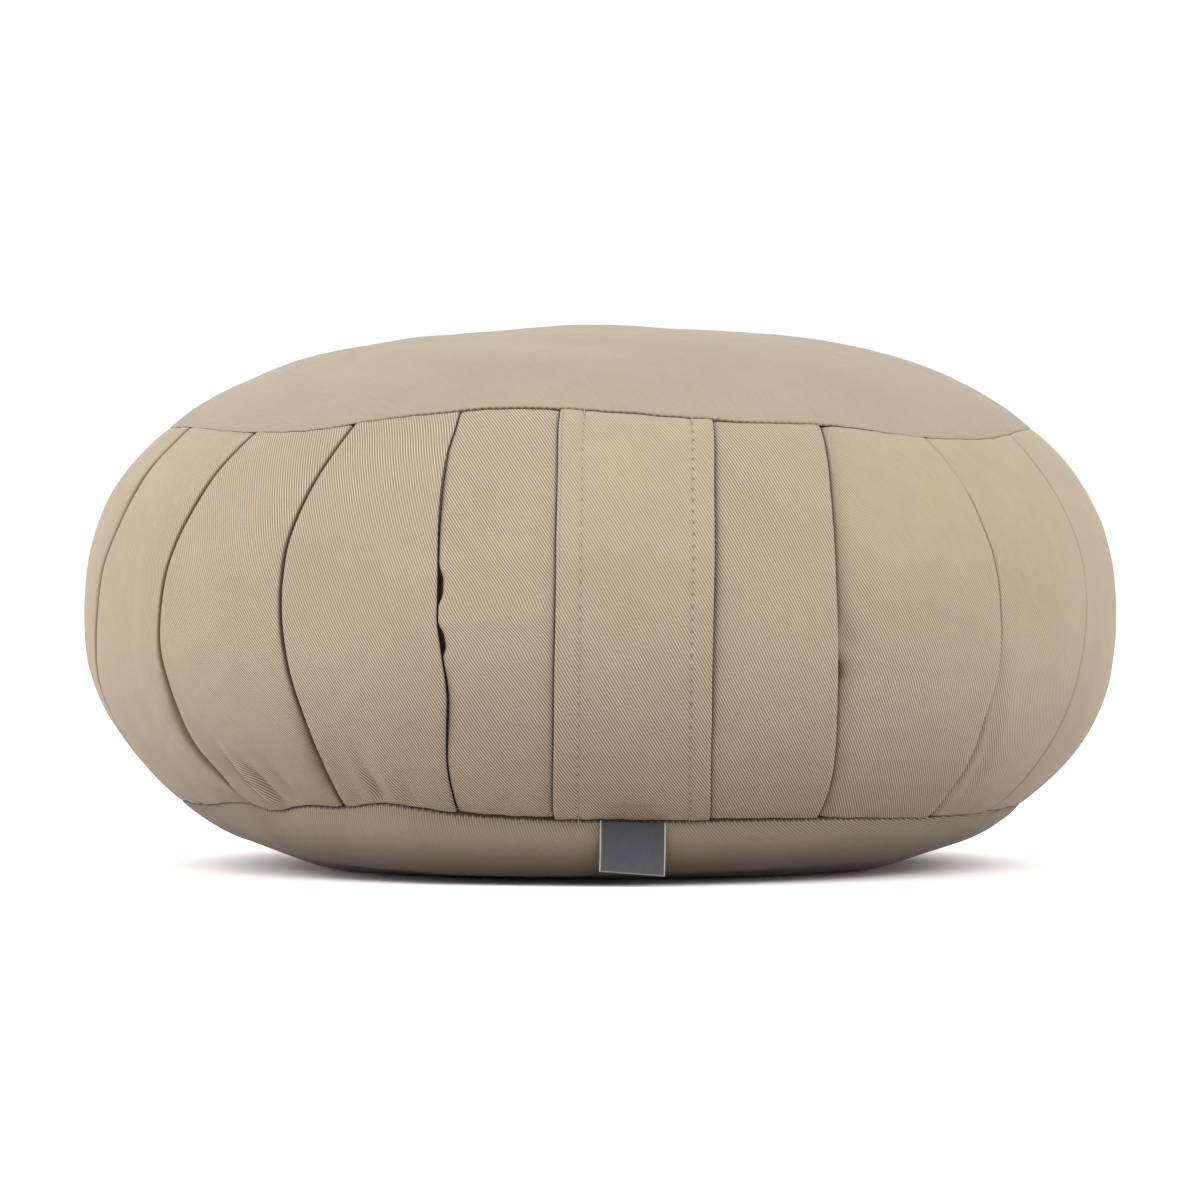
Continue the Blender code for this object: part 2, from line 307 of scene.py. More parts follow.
    def seams(self, angles: Array) -> tuple[Array, Array]:
        """Find both seams at some angles.

        Args:
            angles: Angles round the cushion, in degrees.

        Returns:
            Travel of the bottom seam and of the top seam at each angle.
        """
        return (
            self.travel_at(self.bottom_seam.at(angles)),
            self.travel_at(self.top_seam.at(angles)),
        )

    def usual_seams(self) -> tuple[float, float]:
        """Mean travels of the bottom and the top seam."""
        low, high = self.seams(np.arange(0.0, FULL_TURN, 5.0))
        return float(np.mean(low)), float(np.mean(high))

    def place(self, angles: Array, travel: Array, depth: Array | float) -> Array:
        """Points on the cloth.

        Args:
            angles: Angles round the cushion, in degrees.
            travel: Travels along the outline.
            depth: How far in from the outline the points lie.

        Returns:
            Points, with the three coordinates last.
        """
        angles, travel, depth = np.broadcast_arrays(angles, travel, depth)
        out, down = self.let_down(angles, travel)
        radius = self.radius_at(travel) + out - depth * np.interp(travel, self._t, self._out_r)
        height = self.height_at(travel) - down - depth * np.interp(travel, self._t, self._out_z)
        turn = np.radians(angles)
        return np.stack([radius * np.sin(turn), -radius * np.cos(turn), height], axis=-1)

    def let_down(self, angles: Array, travel: Array) -> tuple[Array, Array]:
        """How far the cushion's weight moves the underside.

        Args:
            angles: Angles round the cushion, in degrees.
            travel: Travels along the outline.

        Returns:
            How far it is pushed out, and how far it is let down.
        """
        low, _ = self.seams(angles)
        held = np.clip(travel, self.rest_reach, low)
        rim, rim_height = self.radius_at(low), self.height_at(low)
        inner = self.radius_at(self.rest_reach)
        lip_share = (self.lip_radius - inner) / (self.lip_radius - inner + self.lip_run)
        share = (held - self.rest_reach) / (low - self.rest_reach)
        tucked = np.clip(share / lip_share, 0, 1)
        turned = np.clip((share - lip_share) / (1 - lip_share), 0, 1) * np.pi / 2
        radius = inner + (self.lip_radius - inner) * tucked + (rim - self.lip_radius) * np.sin(turned)
        height = self.lip_height * eased(tucked)
        height = height + (rim_height - self.lip_height) * (1 - np.cos(turned))
        fully = self.rest_share.at(angles) * (travel < low)
        out = (radius - self.radius_at(held)) * fully * (travel > self.rest_reach)
        down = (self.height_at(travel) - np.where(travel > self.rest_reach, height, 0)) * fully
        return out, down


# ---------------------------------------------------------------------------------- cloth meshes
class ClothMesh:
    """Gathers grids of points with their UVs and makes one object of them."""

    def __init__(self) -> None:
        """Start with nothing gathered."""
        self._points: list[Array] = []
        self._uvs: list[Array] = []
        self._marks: dict[str, list[tuple[int, Array]]] = {}
        self._faces: list[Array] = []
        self._count = 0

    def add_grid(
        self, points: Array, uvs: Array, closed: bool = False, flip: bool = False, **marks: Array
    ) -> None:
        """Add a grid of quads.

        Args:
            points: Rows by columns by three; seen from outside, rows go up and columns go right.
            uvs: Rows by columns by two, in metres.
            closed: Whether the last column joins the first.
            flip: Whether the grid faces the other way.
            **marks: Value of a named attribute at each point; elsewhere it is nought.
        """
        rows, columns = points.shape[:2]
        for name, values in marks.items():
            self._marks.setdefault(name, []).append((self._count, values.ravel()))
        index = np.arange(rows * columns).reshape(rows, columns) + self._count
        if closed:
            index, uvs = (np.concatenate([part, part[:, :1]], axis=1) for part in (index, uvs))
        quads = np.stack([index[:-1, :-1], index[:-1, 1:], index[1:, 1:], index[1:, :-1]], axis=-1)
        corners = np.stack([uvs[:-1, :-1], uvs[:-1, 1:], uvs[1:, 1:], uvs[1:, :-1]], axis=-2)
        quads, corners = quads.reshape(-1, 4), corners.reshape(-1, 4, 2)
        if flip:
            quads, corners = quads[:, ::-1], corners[:, ::-1]
        self._points.append(points.reshape(-1, 3))
        self._faces.extend(quads)
        self._uvs.extend(corners)
        self._count += rows * columns

    def add_cap(self, ring: Array, tip: Sequence[float], upward: bool) -> None:
        """Close a ring of points with triangles to one point.

        Args:
            ring: Points in order of rising angle.
            tip: Point in the middle.
            upward: Whether the cap faces up.
        """
        size = len(ring)
        index = np.arange(size) + self._count
        following = np.roll(index, -1)
        middle = np.full(size, self._count + size)
        order = (index, following, middle) if upward else (following, index, middle)
        points = np.concatenate([ring, [tip]])
        faces = np.stack(order, axis=-1)
        self._points.append(points)
        self._faces.extend(faces)
        self._uvs.extend(points[faces - self._count][..., :2])
        self._count += size + 1

    def build(self, name: str, materials: Sequence[Material]) -> Object:
        """Make the object, with points that fall together made one.

        Args:
            name: Name of the piece.
            materials: Its materials.

        Returns:
            The object, in the scene.
        """
        data = bpy.data.meshes.new(name)
        faces = [face.tolist() for face in self._faces]
        data.from_pydata(np.concatenate(self._points).tolist(), [], faces)
        layer = data.uv_layers.new(name=UV_NAME)
        layer.uv.foreach_set("vector", np.concatenate([uv.ravel() for uv in self._uvs]))
        for mark, parts in self._marks.items():
            values = np.zeros(self._count, np.float32)
            for start, part in parts:
                values[start:start + part.size] = part
            data.attributes.new(mark, "FLOAT", "POINT").data.foreach_set("value", values)
        mesh = bmesh.new()
        mesh.from_mesh(data)
        bmesh.ops.remove_doubles(mesh, verts=mesh.verts, dist=MERGE_DISTANCE)
        mesh.to_mesh(data)
        mesh.free()
        for material in materials:
            data.materials.append(material)
        data.shade_smooth()
        return in_scene(name, data)


def inside_fold(depth: Array | float, roll: Array) -> Array:
    """Share from 0 to 1 of how far inside a fold or seam cloth lies, from its depth in each, which sets
    its painted shade.
    """
    return np.clip((depth + ROLL_SHARE * roll - FOLD_START) / (FOLD_FULL - FOLD_START), 0, 1)


# ------------------------------------------------------------------------------------ soft relief
@dataclass(frozen=True)
class Ripples:
    """Small unevenness of filled cloth: a fixed sum of waves in all directions."""

    seed: int
    shortest: float
    longest: float
    height: float
    waves: int = 24
    stretch: float = 1.0          # how much longer the waves are up the side than round it

    def at(self, across: Array, up: Array) -> Array:
        """Add up the ripples at places on the cloth.

        Args:
            across: Distances round the side.
            up: Distances up it.

        Returns:
            Depth at each place.
        """
        draw = np.random.default_rng(self.seed)
        total = np.zeros(np.broadcast(across, up).shape)
        for _ in range(self.waves):
            length = np.exp(draw.uniform(np.log(self.shortest), np.log(self.longest)))
            turn, phase = draw.uniform(0, 2 * np.pi, 2)
            along = across * np.cos(turn) + up * np.sin(turn) / self.stretch
            total += np.sin(2 * np.pi * along / length + phase)
        return total * self.height / np.sqrt(self.waves / 2)


@dataclass(frozen=True)
class Press:
    """Soft hollow in the cloth, or with a negative depth a soft ridge. Sizes are in mm."""

    angle: float
    travel: float                 # of its middle
    across: float
    along: float
    depth: float
    lean: float = 0.0             # degrees that its long way leans to the right at the top
    panel: str = ""               # name of the line on the panel's left; empty for all panels

    def at(self, angles: Array, travel: Array, radius: float) -> Array:
        """Find how deep it is at places on the cloth.

        Args:
            angles: Angles round the cushion, in degrees.
            travel: Travels along the outline.
            radius: Radius at which its width across is measured.

        Returns:
            Depth that it adds at each place.
        """
        turn = (angles - self.angle + FULL_TURN / 2) % FULL_TURN - FULL_TURN / 2
        across = np.radians(turn) * radius
        up = travel - self.travel * MM
        lean = np.radians(self.lean)
        x = (across * np.cos(lean) - up * np.sin(lean)) / (self.across * MM)
        y = (across * np.sin(lean) + up * np.cos(lean)) / (self.along * MM)
        return self.depth * MM * np.exp(-(x**2) - y**2)


def presses(panel: str, *rows: tuple[float, ...]) -> tuple[Press, ...]:
    """Presses on one panel, or on all of them if it has no name, from the sizes of each in order."""
    return tuple(Press(*row, panel=panel) for row in rows)


PRESSES = (
    *presses(
        "",
        (-88, 165, 45, 28, 1.9),                                # lower left drawn in
        (88, 172, 45, 26, -0.8),                                # lower right fuller
        (90, 345, 110, 60, -0.3), (-80, 312, 60, 26, -0.2),     # crown fuller at both ends
        (-34, 358, 60, 26, 1.0), (-38, 388, 100, 26, 1.3),      # and sat down left of its middle
        (50, 382, 90, 26, 0.4),
    ),
    *presses("strip_left", (4.2, 148, 8.4, 4.5, 1.9)),          # drawn in over the label
    *presses(
        "pleat_near_right",
        (26.4, 209, 3.6, 6, 2.4), (26.9, 226, 4.5, 8, 0.9),     # dimples beside a fold
        (27.4, 205, 6.0, 40, 1.2), (42.5, 190, 7.0, 22, 1.4, -14), (45.0, 168, 5.0, 16, -0.8, -16),
        (33.0, 152, 8.0, 12, 0.7, 8), (36.0, 270, 3.0, 14, 0.5, -22),
    ),
    *presses(
        "pleat_mid_right",
        (49.3, 176, 3.5, 24, 1.7, -16), (52.5, 222, 5.0, 45, 0.8),  # under the folded edge
        (43.2, 267, 2.2, 17, 0.8, -30), (46.3, 268, 2.4, 20, -0.7, -34),  # gathers off the top seam
        (48.8, 270, 2.4, 15, 0.7, -36),
    ),
    *presses(
        "pleat_mid_left",                                       # gathers off the bottom seam
        (-47.2, 163, 2.0, 13, 2.0, -16), (-45.6, 160, 1.9, 13, -1.2, -16),
        (-43.9, 157, 1.8, 11, 2.0, -14), (-40.6, 159, 2.8, 14, 1.1, -12),
        (-49.3, 172, 2.6, 18, 1.0, -12),
    ),
    *presses(
        "pleat_near_left",
        (-27.4, 157, 2.2, 13, 1.6, -2), (-25.2, 155, 2.2, 12, -0.9, -2),
        (-23.0, 153, 2.2, 9, 0.9), (-30.4, 160, 2.6, 14, 0.7, -4),
    ),
    *presses(
        "pleat_far_left",
        (-60.5, 222, 5.0, 40, 0.8), (-57.5, 172, 5.0, 30, 1.0, -25), (-62.0, 160, 4.0, 16, 0.8, -35),
    ),
    *presses("", (-76.5, 160, 5.0, 18, 1.2, -30)),
)
RIM_LIFTS = presses("", (-84, 109, 44, 13, 3.4), (84, 116, 44, 14, 3.6))  # rounded up at the sides


@dataclass
class Relief:
    """How the filled cloth rises and sinks from the plain outline."""

    outline: Outline
    broad: Ripples = Ripples(seed=11, shortest=0.05, longest=0.15, height=0.00035)
    fine: Ripples = Ripples(seed=23, shortest=0.010, longest=0.030, height=0.00005)
    gather: Ripples = Ripples(seed=37, shortest=0.005, longest=0.016, height=0.00010, stretch=6.0)
    gather_reach: float = 0.006
    held_reach: float = 0.010     # distance over which a seam holds the cloth even
    clear_reach: float = 2.5 * MM  # no press on one panel comes nearer a seam than this
    presses: tuple[Press, ...] = PRESSES
    lifts: tuple[Press, ...] = RIM_LIFTS  # of the underside, in place of the other relief
    flat_travel: float = 0.114    # the underside has no relief up to here
    flat_fade: float = 0.012

    def at(self, angles: Array, travel: Array, panel: str = "") -> Array:
        """Depth of the relief at places on the cloth.

        Args:
            angles: Angles round the cushion, in degrees.
            travel: Travels along the outline.
            panel: Name of the line on the panel's left, or empty for a round panel.

        Returns:
            Depths, to be added to a piece's own.
        """
        out = self.outline
        low, high = out.seams(angles)
        turn = np.radians(angles)
        spread = np.minimum(out.radius_at(travel), out.radius)
        x, y = spread * np.sin(turn), -spread * np.cos(turn)
        away = np.minimum(np.abs(travel - low), np.abs(travel - high))
        around = turn * out.radius
        # some travel is mixed in, or the ripples would run straight up the side
        depth = self.broad.at(x + 0.7 * travel, y + 0.4 * travel)
        depth = depth + self.fine.at(x - 0.8 * travel, y + 0.6 * travel)
        near = np.exp(-away / self.gather_reach)
        depth = depth * (1 - np.exp(-away / self.held_reach)) + self.gather.at(around, travel) * near
        clear = 1 - np.exp(-((away / self.clear_reach) ** 2))
        for press in self.presses:
            if press.panel in ("", panel):
                share = clear if press.panel else 1.0
                depth = depth + press.at(angles, travel, out.radius) * share
        lifted = sum(press.at(angles, travel, out.radius) for press in self.lifts)
        return depth * np.clip((travel - self.flat_travel) / self.flat_fade, 0, 1) + lifted


# --------------------------------------------------------------------------------- the folds
class ClothEdge(Enum):
    """How the cloth lies beside a line down the side."""

    OVER = "folded edge on top"
    UNDER = "runs on beneath its neighbour's folded edge"
    BESIDE = "dips under the strip's edge"
    BED = "lies flat under the strip"


@dataclass(frozen=True)
class Opening:
    """Place where a fold gapes."""

    height: float
    half_height: float
    width: float


@dataclass(frozen=True)
class FoldLine:
    """Line down the side between two panels of the band."""

    name: str
    path: Knots                   # height and angle, from the bottom up
    left: ClothEdge
    right: ClothEdge
    gap: float = 0.35 * MM        # how wide the crevice beside a folded edge is
    step: float = 0.5 * MM        # how far the cloth beneath lies below the folded edge
    slope: float = 6.0 * MM       # how gently the cloth beneath comes up again
    wall: float = 1.7 * MM        # how deep the cloth beneath rounds down into the crevice
    wall_reach: float = 0.32 * MM
    dip: Knots = ((0.0, 0.0), (0.18, 0.0))  # height, and mm that the cloth beside it is drawn down
    dip_reach: float = 2.2 * MM
    crease: float = 0.28 * MM     # width of the shadow line beside the folded edge
    crease_dip: float = 0.0       # how much wider it is, of how far the cloth beside it is drawn down
    crease_end: float = 2.0       # how sharply it ends
    strength: Knots = ((0.0, 1.0), (0.18, 1.0))  # height, and how strongly the fold shows
    openings: tuple[Opening, ...] = ()
    columns: int = 11             # across the middle of the panel on its right

    def angle(self, heights: Array) -> Array:
        """Angle of the line at some heights."""
        return smooth_curve(self.path, heights)

    def width(self, heights: Array) -> Array:
        """Find how wide the crevice is.

        Args:
            heights: Heights above the floor.

        Returns:
            Widths.
        """
        width = np.full(np.shape(heights), self.gap)
        for opening in self.openings:
            share = np.exp(-(((heights - opening.height) / opening.half_height) ** 4))
            width = width + (opening.width - self.gap) * share
        return width


OVER, UNDER, BESIDE, BED = ClothEdge
FRONT_LINES = (
    FoldLine(
        "pleat_far_left",
        ((0.0221, -65.0), (0.0251, -69.5), (0.0314, -72.4), (0.0469, -73.8), (0.0618, -74.2),
         (0.0748, -72.5), (0.0819, -71.8), (0.0985, -70.1), (0.1112, -67.3), (0.1208, -66.4),
         (0.1321, -66.2), (0.1422, -64.9)),
        UNDER, OVER, gap=1.4 * MM, step=0.1 * MM, wall=2.2 * MM, wall_reach=0.4 * MM,
        dip_reach=5.0 * MM, crease=2.4 * MM,
        dip=((0.030, 0.3), (0.080, 0.2), (0.095, 0.4), (0.112, 0.4), (0.140, 0.1)),
        strength=((0.022, 0.3), (0.050, 0.8), (0.080, 1.0), (0.120, 1.0), (0.140, 0.6)),
    ),
    FoldLine(
        "pleat_mid_left",
        ((0.0210, -49.0), (0.0273, -50.5), (0.0336, -50.7), (0.0418, -51.7), (0.0506, -52.1),
         (0.0596, -52.4), (0.0724, -53.2), (0.0817, -53.2), (0.0954, -52.6), (0.1069, -51.3),
         (0.1173, -49.7), (0.1290, -48.1), (0.1393, -46.5)),
        UNDER, OVER, gap=1.05 * MM, columns=34, step=0.2 * MM, wall=2.0 * MM, wall_reach=0.35 * MM,
        dip_reach=3.6 * MM, crease=0.8 * MM, crease_dip=1.7, crease_end=4.0,
        dip=((0.028, 0.0), (0.035, 2.0), (0.045, 2.4), (0.060, 1.2), (0.075, 0.4), (0.090, 0.2),
             (0.107, 0.3), (0.135, 0.0)),
        strength=((0.020, 0.0), (0.026, 0.05), (0.030, 0.8), (0.045, 1.0), (0.120, 1.0), (0.140, 0.7)),
    ),
    FoldLine(
        "pleat_near_left",
        ((0.0229, -33.4), (0.0340, -32.9), (0.0501, -33.0), (0.0647, -33.7), (0.0841, -34.3),
         (0.0928, -34.3), (0.1029, -34.1), (0.1141, -33.3), (0.1248, -32.3), (0.1408, -30.8)),
        UNDER, OVER, gap=0.8 * MM, columns=24, step=0.3 * MM, dip_reach=3.0 * MM,
        crease=0.75 * MM, crease_dip=0.75, crease_end=3.0,
        dip=((0.025, 0.2), (0.030, 1.5), (0.044, 1.7), (0.055, 0.8), (0.072, 0.2), (0.120, 0.0)),
    ),
    FoldLine(
        "pleat_box_edge",
        ((0.0220, -18.05), (0.0358, -17.34), (0.0480, -16.46), (0.0571, -15.97), (0.0631, -15.97),
         (0.0676, -16.13), (0.0735, -16.36), (0.0780, -16.57), (0.0810, -16.66), (0.0869, -16.64),
         (0.0944, -16.67), (0.1049, -16.83), (0.1169, -17.07), (0.1258, -17.27), (0.1332, -17.36),
         (0.1398, -17.25), (0.1447, -17.49)),
        OVER, UNDER, gap=0.12 * MM, step=0.5 * MM, dip_reach=1.7 * MM,
        dip=((0.040, 0.0), (0.048, 0.9), (0.062, 0.8), (0.070, 0.0), (0.100, 0.1), (0.108, 0.7),
             (0.124, 1.1), (0.138, 0.3)),
        strength=((0.096, 1.0), (0.108, 0.72), (0.125, 0.5), (0.140, 0.45)),
        openings=(Opening(0.0912, 0.0048, 1.35 * MM), Opening(0.0828, 0.0020, 0.15 * MM),
                  Opening(0.0748, 0.0040, 1.35 * MM)),
    ),
    FoldLine(
        "strip_left",
        ((0.0235, -5.67), (0.0421, -4.96), (0.0691, -4.52), (0.0875, -4.39), (0.1047, -4.40),
         (0.1259, -4.52), (0.1398, -4.80)),
        BESIDE, BED, dip=((0.03, 0.3), (0.08, 0.4), (0.105, 0.2), (0.125, 0.0)), dip_reach=1.2 * MM,
    ),
    FoldLine(
        "strip_right",
        ((0.0202, 13.87), (0.0328, 12.54), (0.0571, 11.42), (0.0810, 11.29), (0.0988, 11.53),
         (0.1214, 12.13), (0.1416, 13.43)),
        BED, BESIDE, dip=((0.03, 0.3), (0.05, 0.8), (0.105, 1.2), (0.122, 0.8), (0.138, 0.3)),
        dip_reach=2.0 * MM,
    ),
    FoldLine(
        "pleat_near_right",
        ((0.0196, 29.0), (0.0509, 25.7), (0.0621, 25.1), (0.0807, 24.8), (0.1011, 24.7),
         (0.1196, 25.3), (0.1402, 27.2)),
        OVER, UNDER, gap=0.30 * MM, columns=15, step=0.6 * MM, dip_reach=3.6 * MM,
        dip=((0.030, 0.3), (0.050, 0.8), (0.060, 1.4), (0.0655, 2.3), (0.071, 1.6), (0.084, 1.4),
             (0.102, 0.8), (0.120, 0.5), (0.135, 0.1)),
        openings=(Opening(0.0655, 0.0026, 0.9 * MM),),
    ),
    FoldLine(
        "pleat_mid_right",
        ((0.0196, 48.8), (0.0291, 47.5), (0.0383, 46.9), (0.0515, 46.2), (0.0626, 46.5),
         (0.0811, 46.5), (0.1002, 45.9), (0.1110, 45.0), (0.1243, 43.8), (0.1377, 42.0)),
        OVER, UNDER, gap=0.22 * MM, columns=15, step=0.5 * MM, wall=1.2 * MM, dip_reach=3.6 * MM,
        crease=0.6 * MM,
        dip=((0.028, 0.8), (0.040, 1.3), (0.055, 1.0), (0.070, 0.3), (0.110, 0.0)),
        strength=((0.020, 0.7), (0.050, 0.8), (0.100, 0.6), (0.120, 0.45), (0.138, 0.5)),
    ),
    FoldLine(
        "pleat_far_right",
        ((0.0237, 63.5), (0.0408, 63.5), (0.0717, 63.3), (0.0875, 64.3), (0.1401, 62.0)),
        OVER, UNDER, gap=0.5 * MM, step=0.3 * MM, wall=1.0 * MM, crease=0.7 * MM,
        strength=((0.020, 0.6), (0.050, 0.4), (0.090, 0.3), (0.142, 0.4)),
    ),
)


def side_lines(back_pleats: int = 11, facing_right: int = 5) -> list[FoldLine]:
    """All lines round the side in order of angle.

    Args:
        back_pleats: Pleats behind the outermost ones that the front shows, evenly spaced.
        facing_right: How many of them fold to the right; the rest fold to the left.

    Returns:
        The front's lines, then the back's.
    """
    draw = np.random.default_rng(5)
    first, last = FRONT_LINES[-1], FRONT_LINES[0]
    heights = np.linspace(0.021, 0.142, 8)
    start, finish = first.angle(heights), last.angle(heights) + FULL_TURN
    lines = list(FRONT_LINES)
    for number in range(1, back_pleats + 1):
        share = number / (back_pleats + 1)
        turns_right = number <= facing_right
        sway = np.cumsum(draw.normal(0, 0.22, heights.size))
        angles = start + (finish - start) * share + sway - sway.mean()
        lines.append(FoldLine(
            f"pleat_back_{number}", tuple(zip(heights.tolist(), angles.tolist())),
            OVER if turns_right else UNDER, UNDER if turns_right else OVER,
            gap=draw.uniform(0.35, 0.75) * MM, step=draw.uniform(0.6, 1.2) * MM, columns=7,
        ))
    return lines


@dataclass(frozen=True)
class SeamRoll:
    """How cloth turns in at a sewn seam: a pull over some millimetres, then a tight roll.

    The seam gapes more in some places than in others. Where it gapes it shows as an unbroken dark
    line, and where it is drawn tight as a row of short dark puckers; both are partly painted shade.
    """

    pull: float                   # where it gapes
    pull_reach: float
    tight_pull: float = 0.18 * MM  # where it is drawn tight
    roll: float = 1.5 * MM
    roll_reach: float = 0.26 * MM
    roll_end: float = 1.3         # how sharply it ends
    offset: float = 0.13 * MM     # how far the cloth stays clear of the seam's middle where it gapes
    tight_share: float = 0.06     # share of that where it is drawn tight
    line_reach: float = 0.36 * MM
    top_gape: RoundCurve = RoundCurve((
        (-150, 0.6), (-100, 0.4), (-70, 0.10), (-45, 0.16), (-33, 0.26), (-24, 0.5), (-12, 0.9),
        (12, 1.0), (19, 0.55), (27, 0.42), (34, 0.17), (45, 0.09), (56, 0.15), (75, 0.08),
        (110, 0.5), (160, 0.6),
    ))
    bottom_gape: RoundCurve = RoundCurve((
        (-150, 0.6), (-90, 0.3), (-62, 0.5), (-50, 0.25), (-42, 0.7), (-30, 0.6), (-20, 1.0),
        (25, 1.0), (36, 0.6), (48, 0.5), (60, 0.3), (100, 0.5), (160, 0.6),
    ))

    def gape(self, angles: Array, top: bool | Array) -> Array:
        """How far the seam gapes, from nought to one, at some angles of either seam."""
        return np.where(top, self.top_gape.at(angles), self.bottom_gape.at(angles))

    def clear(self, angles: Array, top: bool | Array) -> Array:
        """How far the cloth stays clear of the seam's middle at some angles of either seam."""
        gape = self.gape(angles, top)
        return self.offset * (self.tight_share + (1 - self.tight_share) * gape)

    def depth(self, away: Array, gape: Array) -> Array:
        """Find how deep the cloth is turned in near the seam.

        Args:
            away: Distances from the seam.
            gape: How far it gapes there, from nought to one.

        Returns:
            Depths.
        """
        roll = self.roll * gape * np.exp(-((away / self.roll_reach) ** self.roll_end))
        pull = self.tight_pull + (self.pull - self.tight_pull) * gape
        return pull * np.exp(-away / self.pull_reach) + roll

    def line(self, away: Array, gape: Array) -> Array:
        """How near the sewn line the cloth lies, weighed by how far the seam gapes."""
        return gape * np.exp(-((away / self.line_reach) ** 2))


@dataclass(frozen=True)
class Swell:
    """How far the filling swells each panel of the band out between its folds."""

    field: Array                  # metres, panels by rows by columns, from fold to fold

    def at(self, panel: int, across: Array, shares: Array) -> Array:
        """Swell at places on a panel.

        Args:
            panel: Number of the panel.
            across: Share of the way from its left fold to its right one, rows by columns.
            shares: Share of the way from the bottom seam to the top one, one for each row.

        Returns:
            How far the cloth stands out, rows by columns.
        """
        table = self.field[panel]
        up = np.broadcast_to(shares[:, None], across.shape)
        rows, row_weights = self._neighbours(up * (table.shape[0] - 1), table.shape[0])
        columns, weights = self._neighbours(across * (table.shape[1] - 1), table.shape[1])
        return sum(
            row_weights[i] * weights[j] * table[rows[i], columns[j]] for i in range(4) for j in range(4)
        )

    @staticmethod
    def _neighbours(place: Array, count: int) -> tuple[Array, Array]:
        """Find the four table entries round a place, for a smooth curve through them.

        Args:
            place: Fractional places in the table.
            count: Length of the table.

        Returns:
            Numbers of the four entries, and the share of each.
        """
        first = np.clip(np.floor(place), 0, count - 2).astype(int)
        f = place - first
        weights = np.stack([
            ((2 - f) * f - 1) * f, (3 * f - 5) * f * f + 2, ((4 - 3 * f) * f + 1) * f, (f - 1) * f * f,
        ]) / 2
        return np.clip(first + np.arange(-1, 3)[:, None, None], 0, count - 1), weights


# Distances from a seam at which the mesh has rows
SEAM_ROWS = np.array([0.0, 0.12, 0.24, 0.38, 0.56, 0.82, 1.25, 1.9, 2.7, 3.8, 5.0]) * MM


@dataclass(frozen=True)
class Crevice:
    """The crevice of one fold, with a value for each row as one column."""

    line: FoldLine
    strength: Array               # how strongly the fold shows
    settle: Array                 # the same, less near a seam
    gape: Array                   # how much wider than usual it is
    reach: Array                  # how far in beneath the folded edge it reaches
    bottom: Array                 # how deep it is
    dip: Array                    # how far the cloth beside it is drawn down


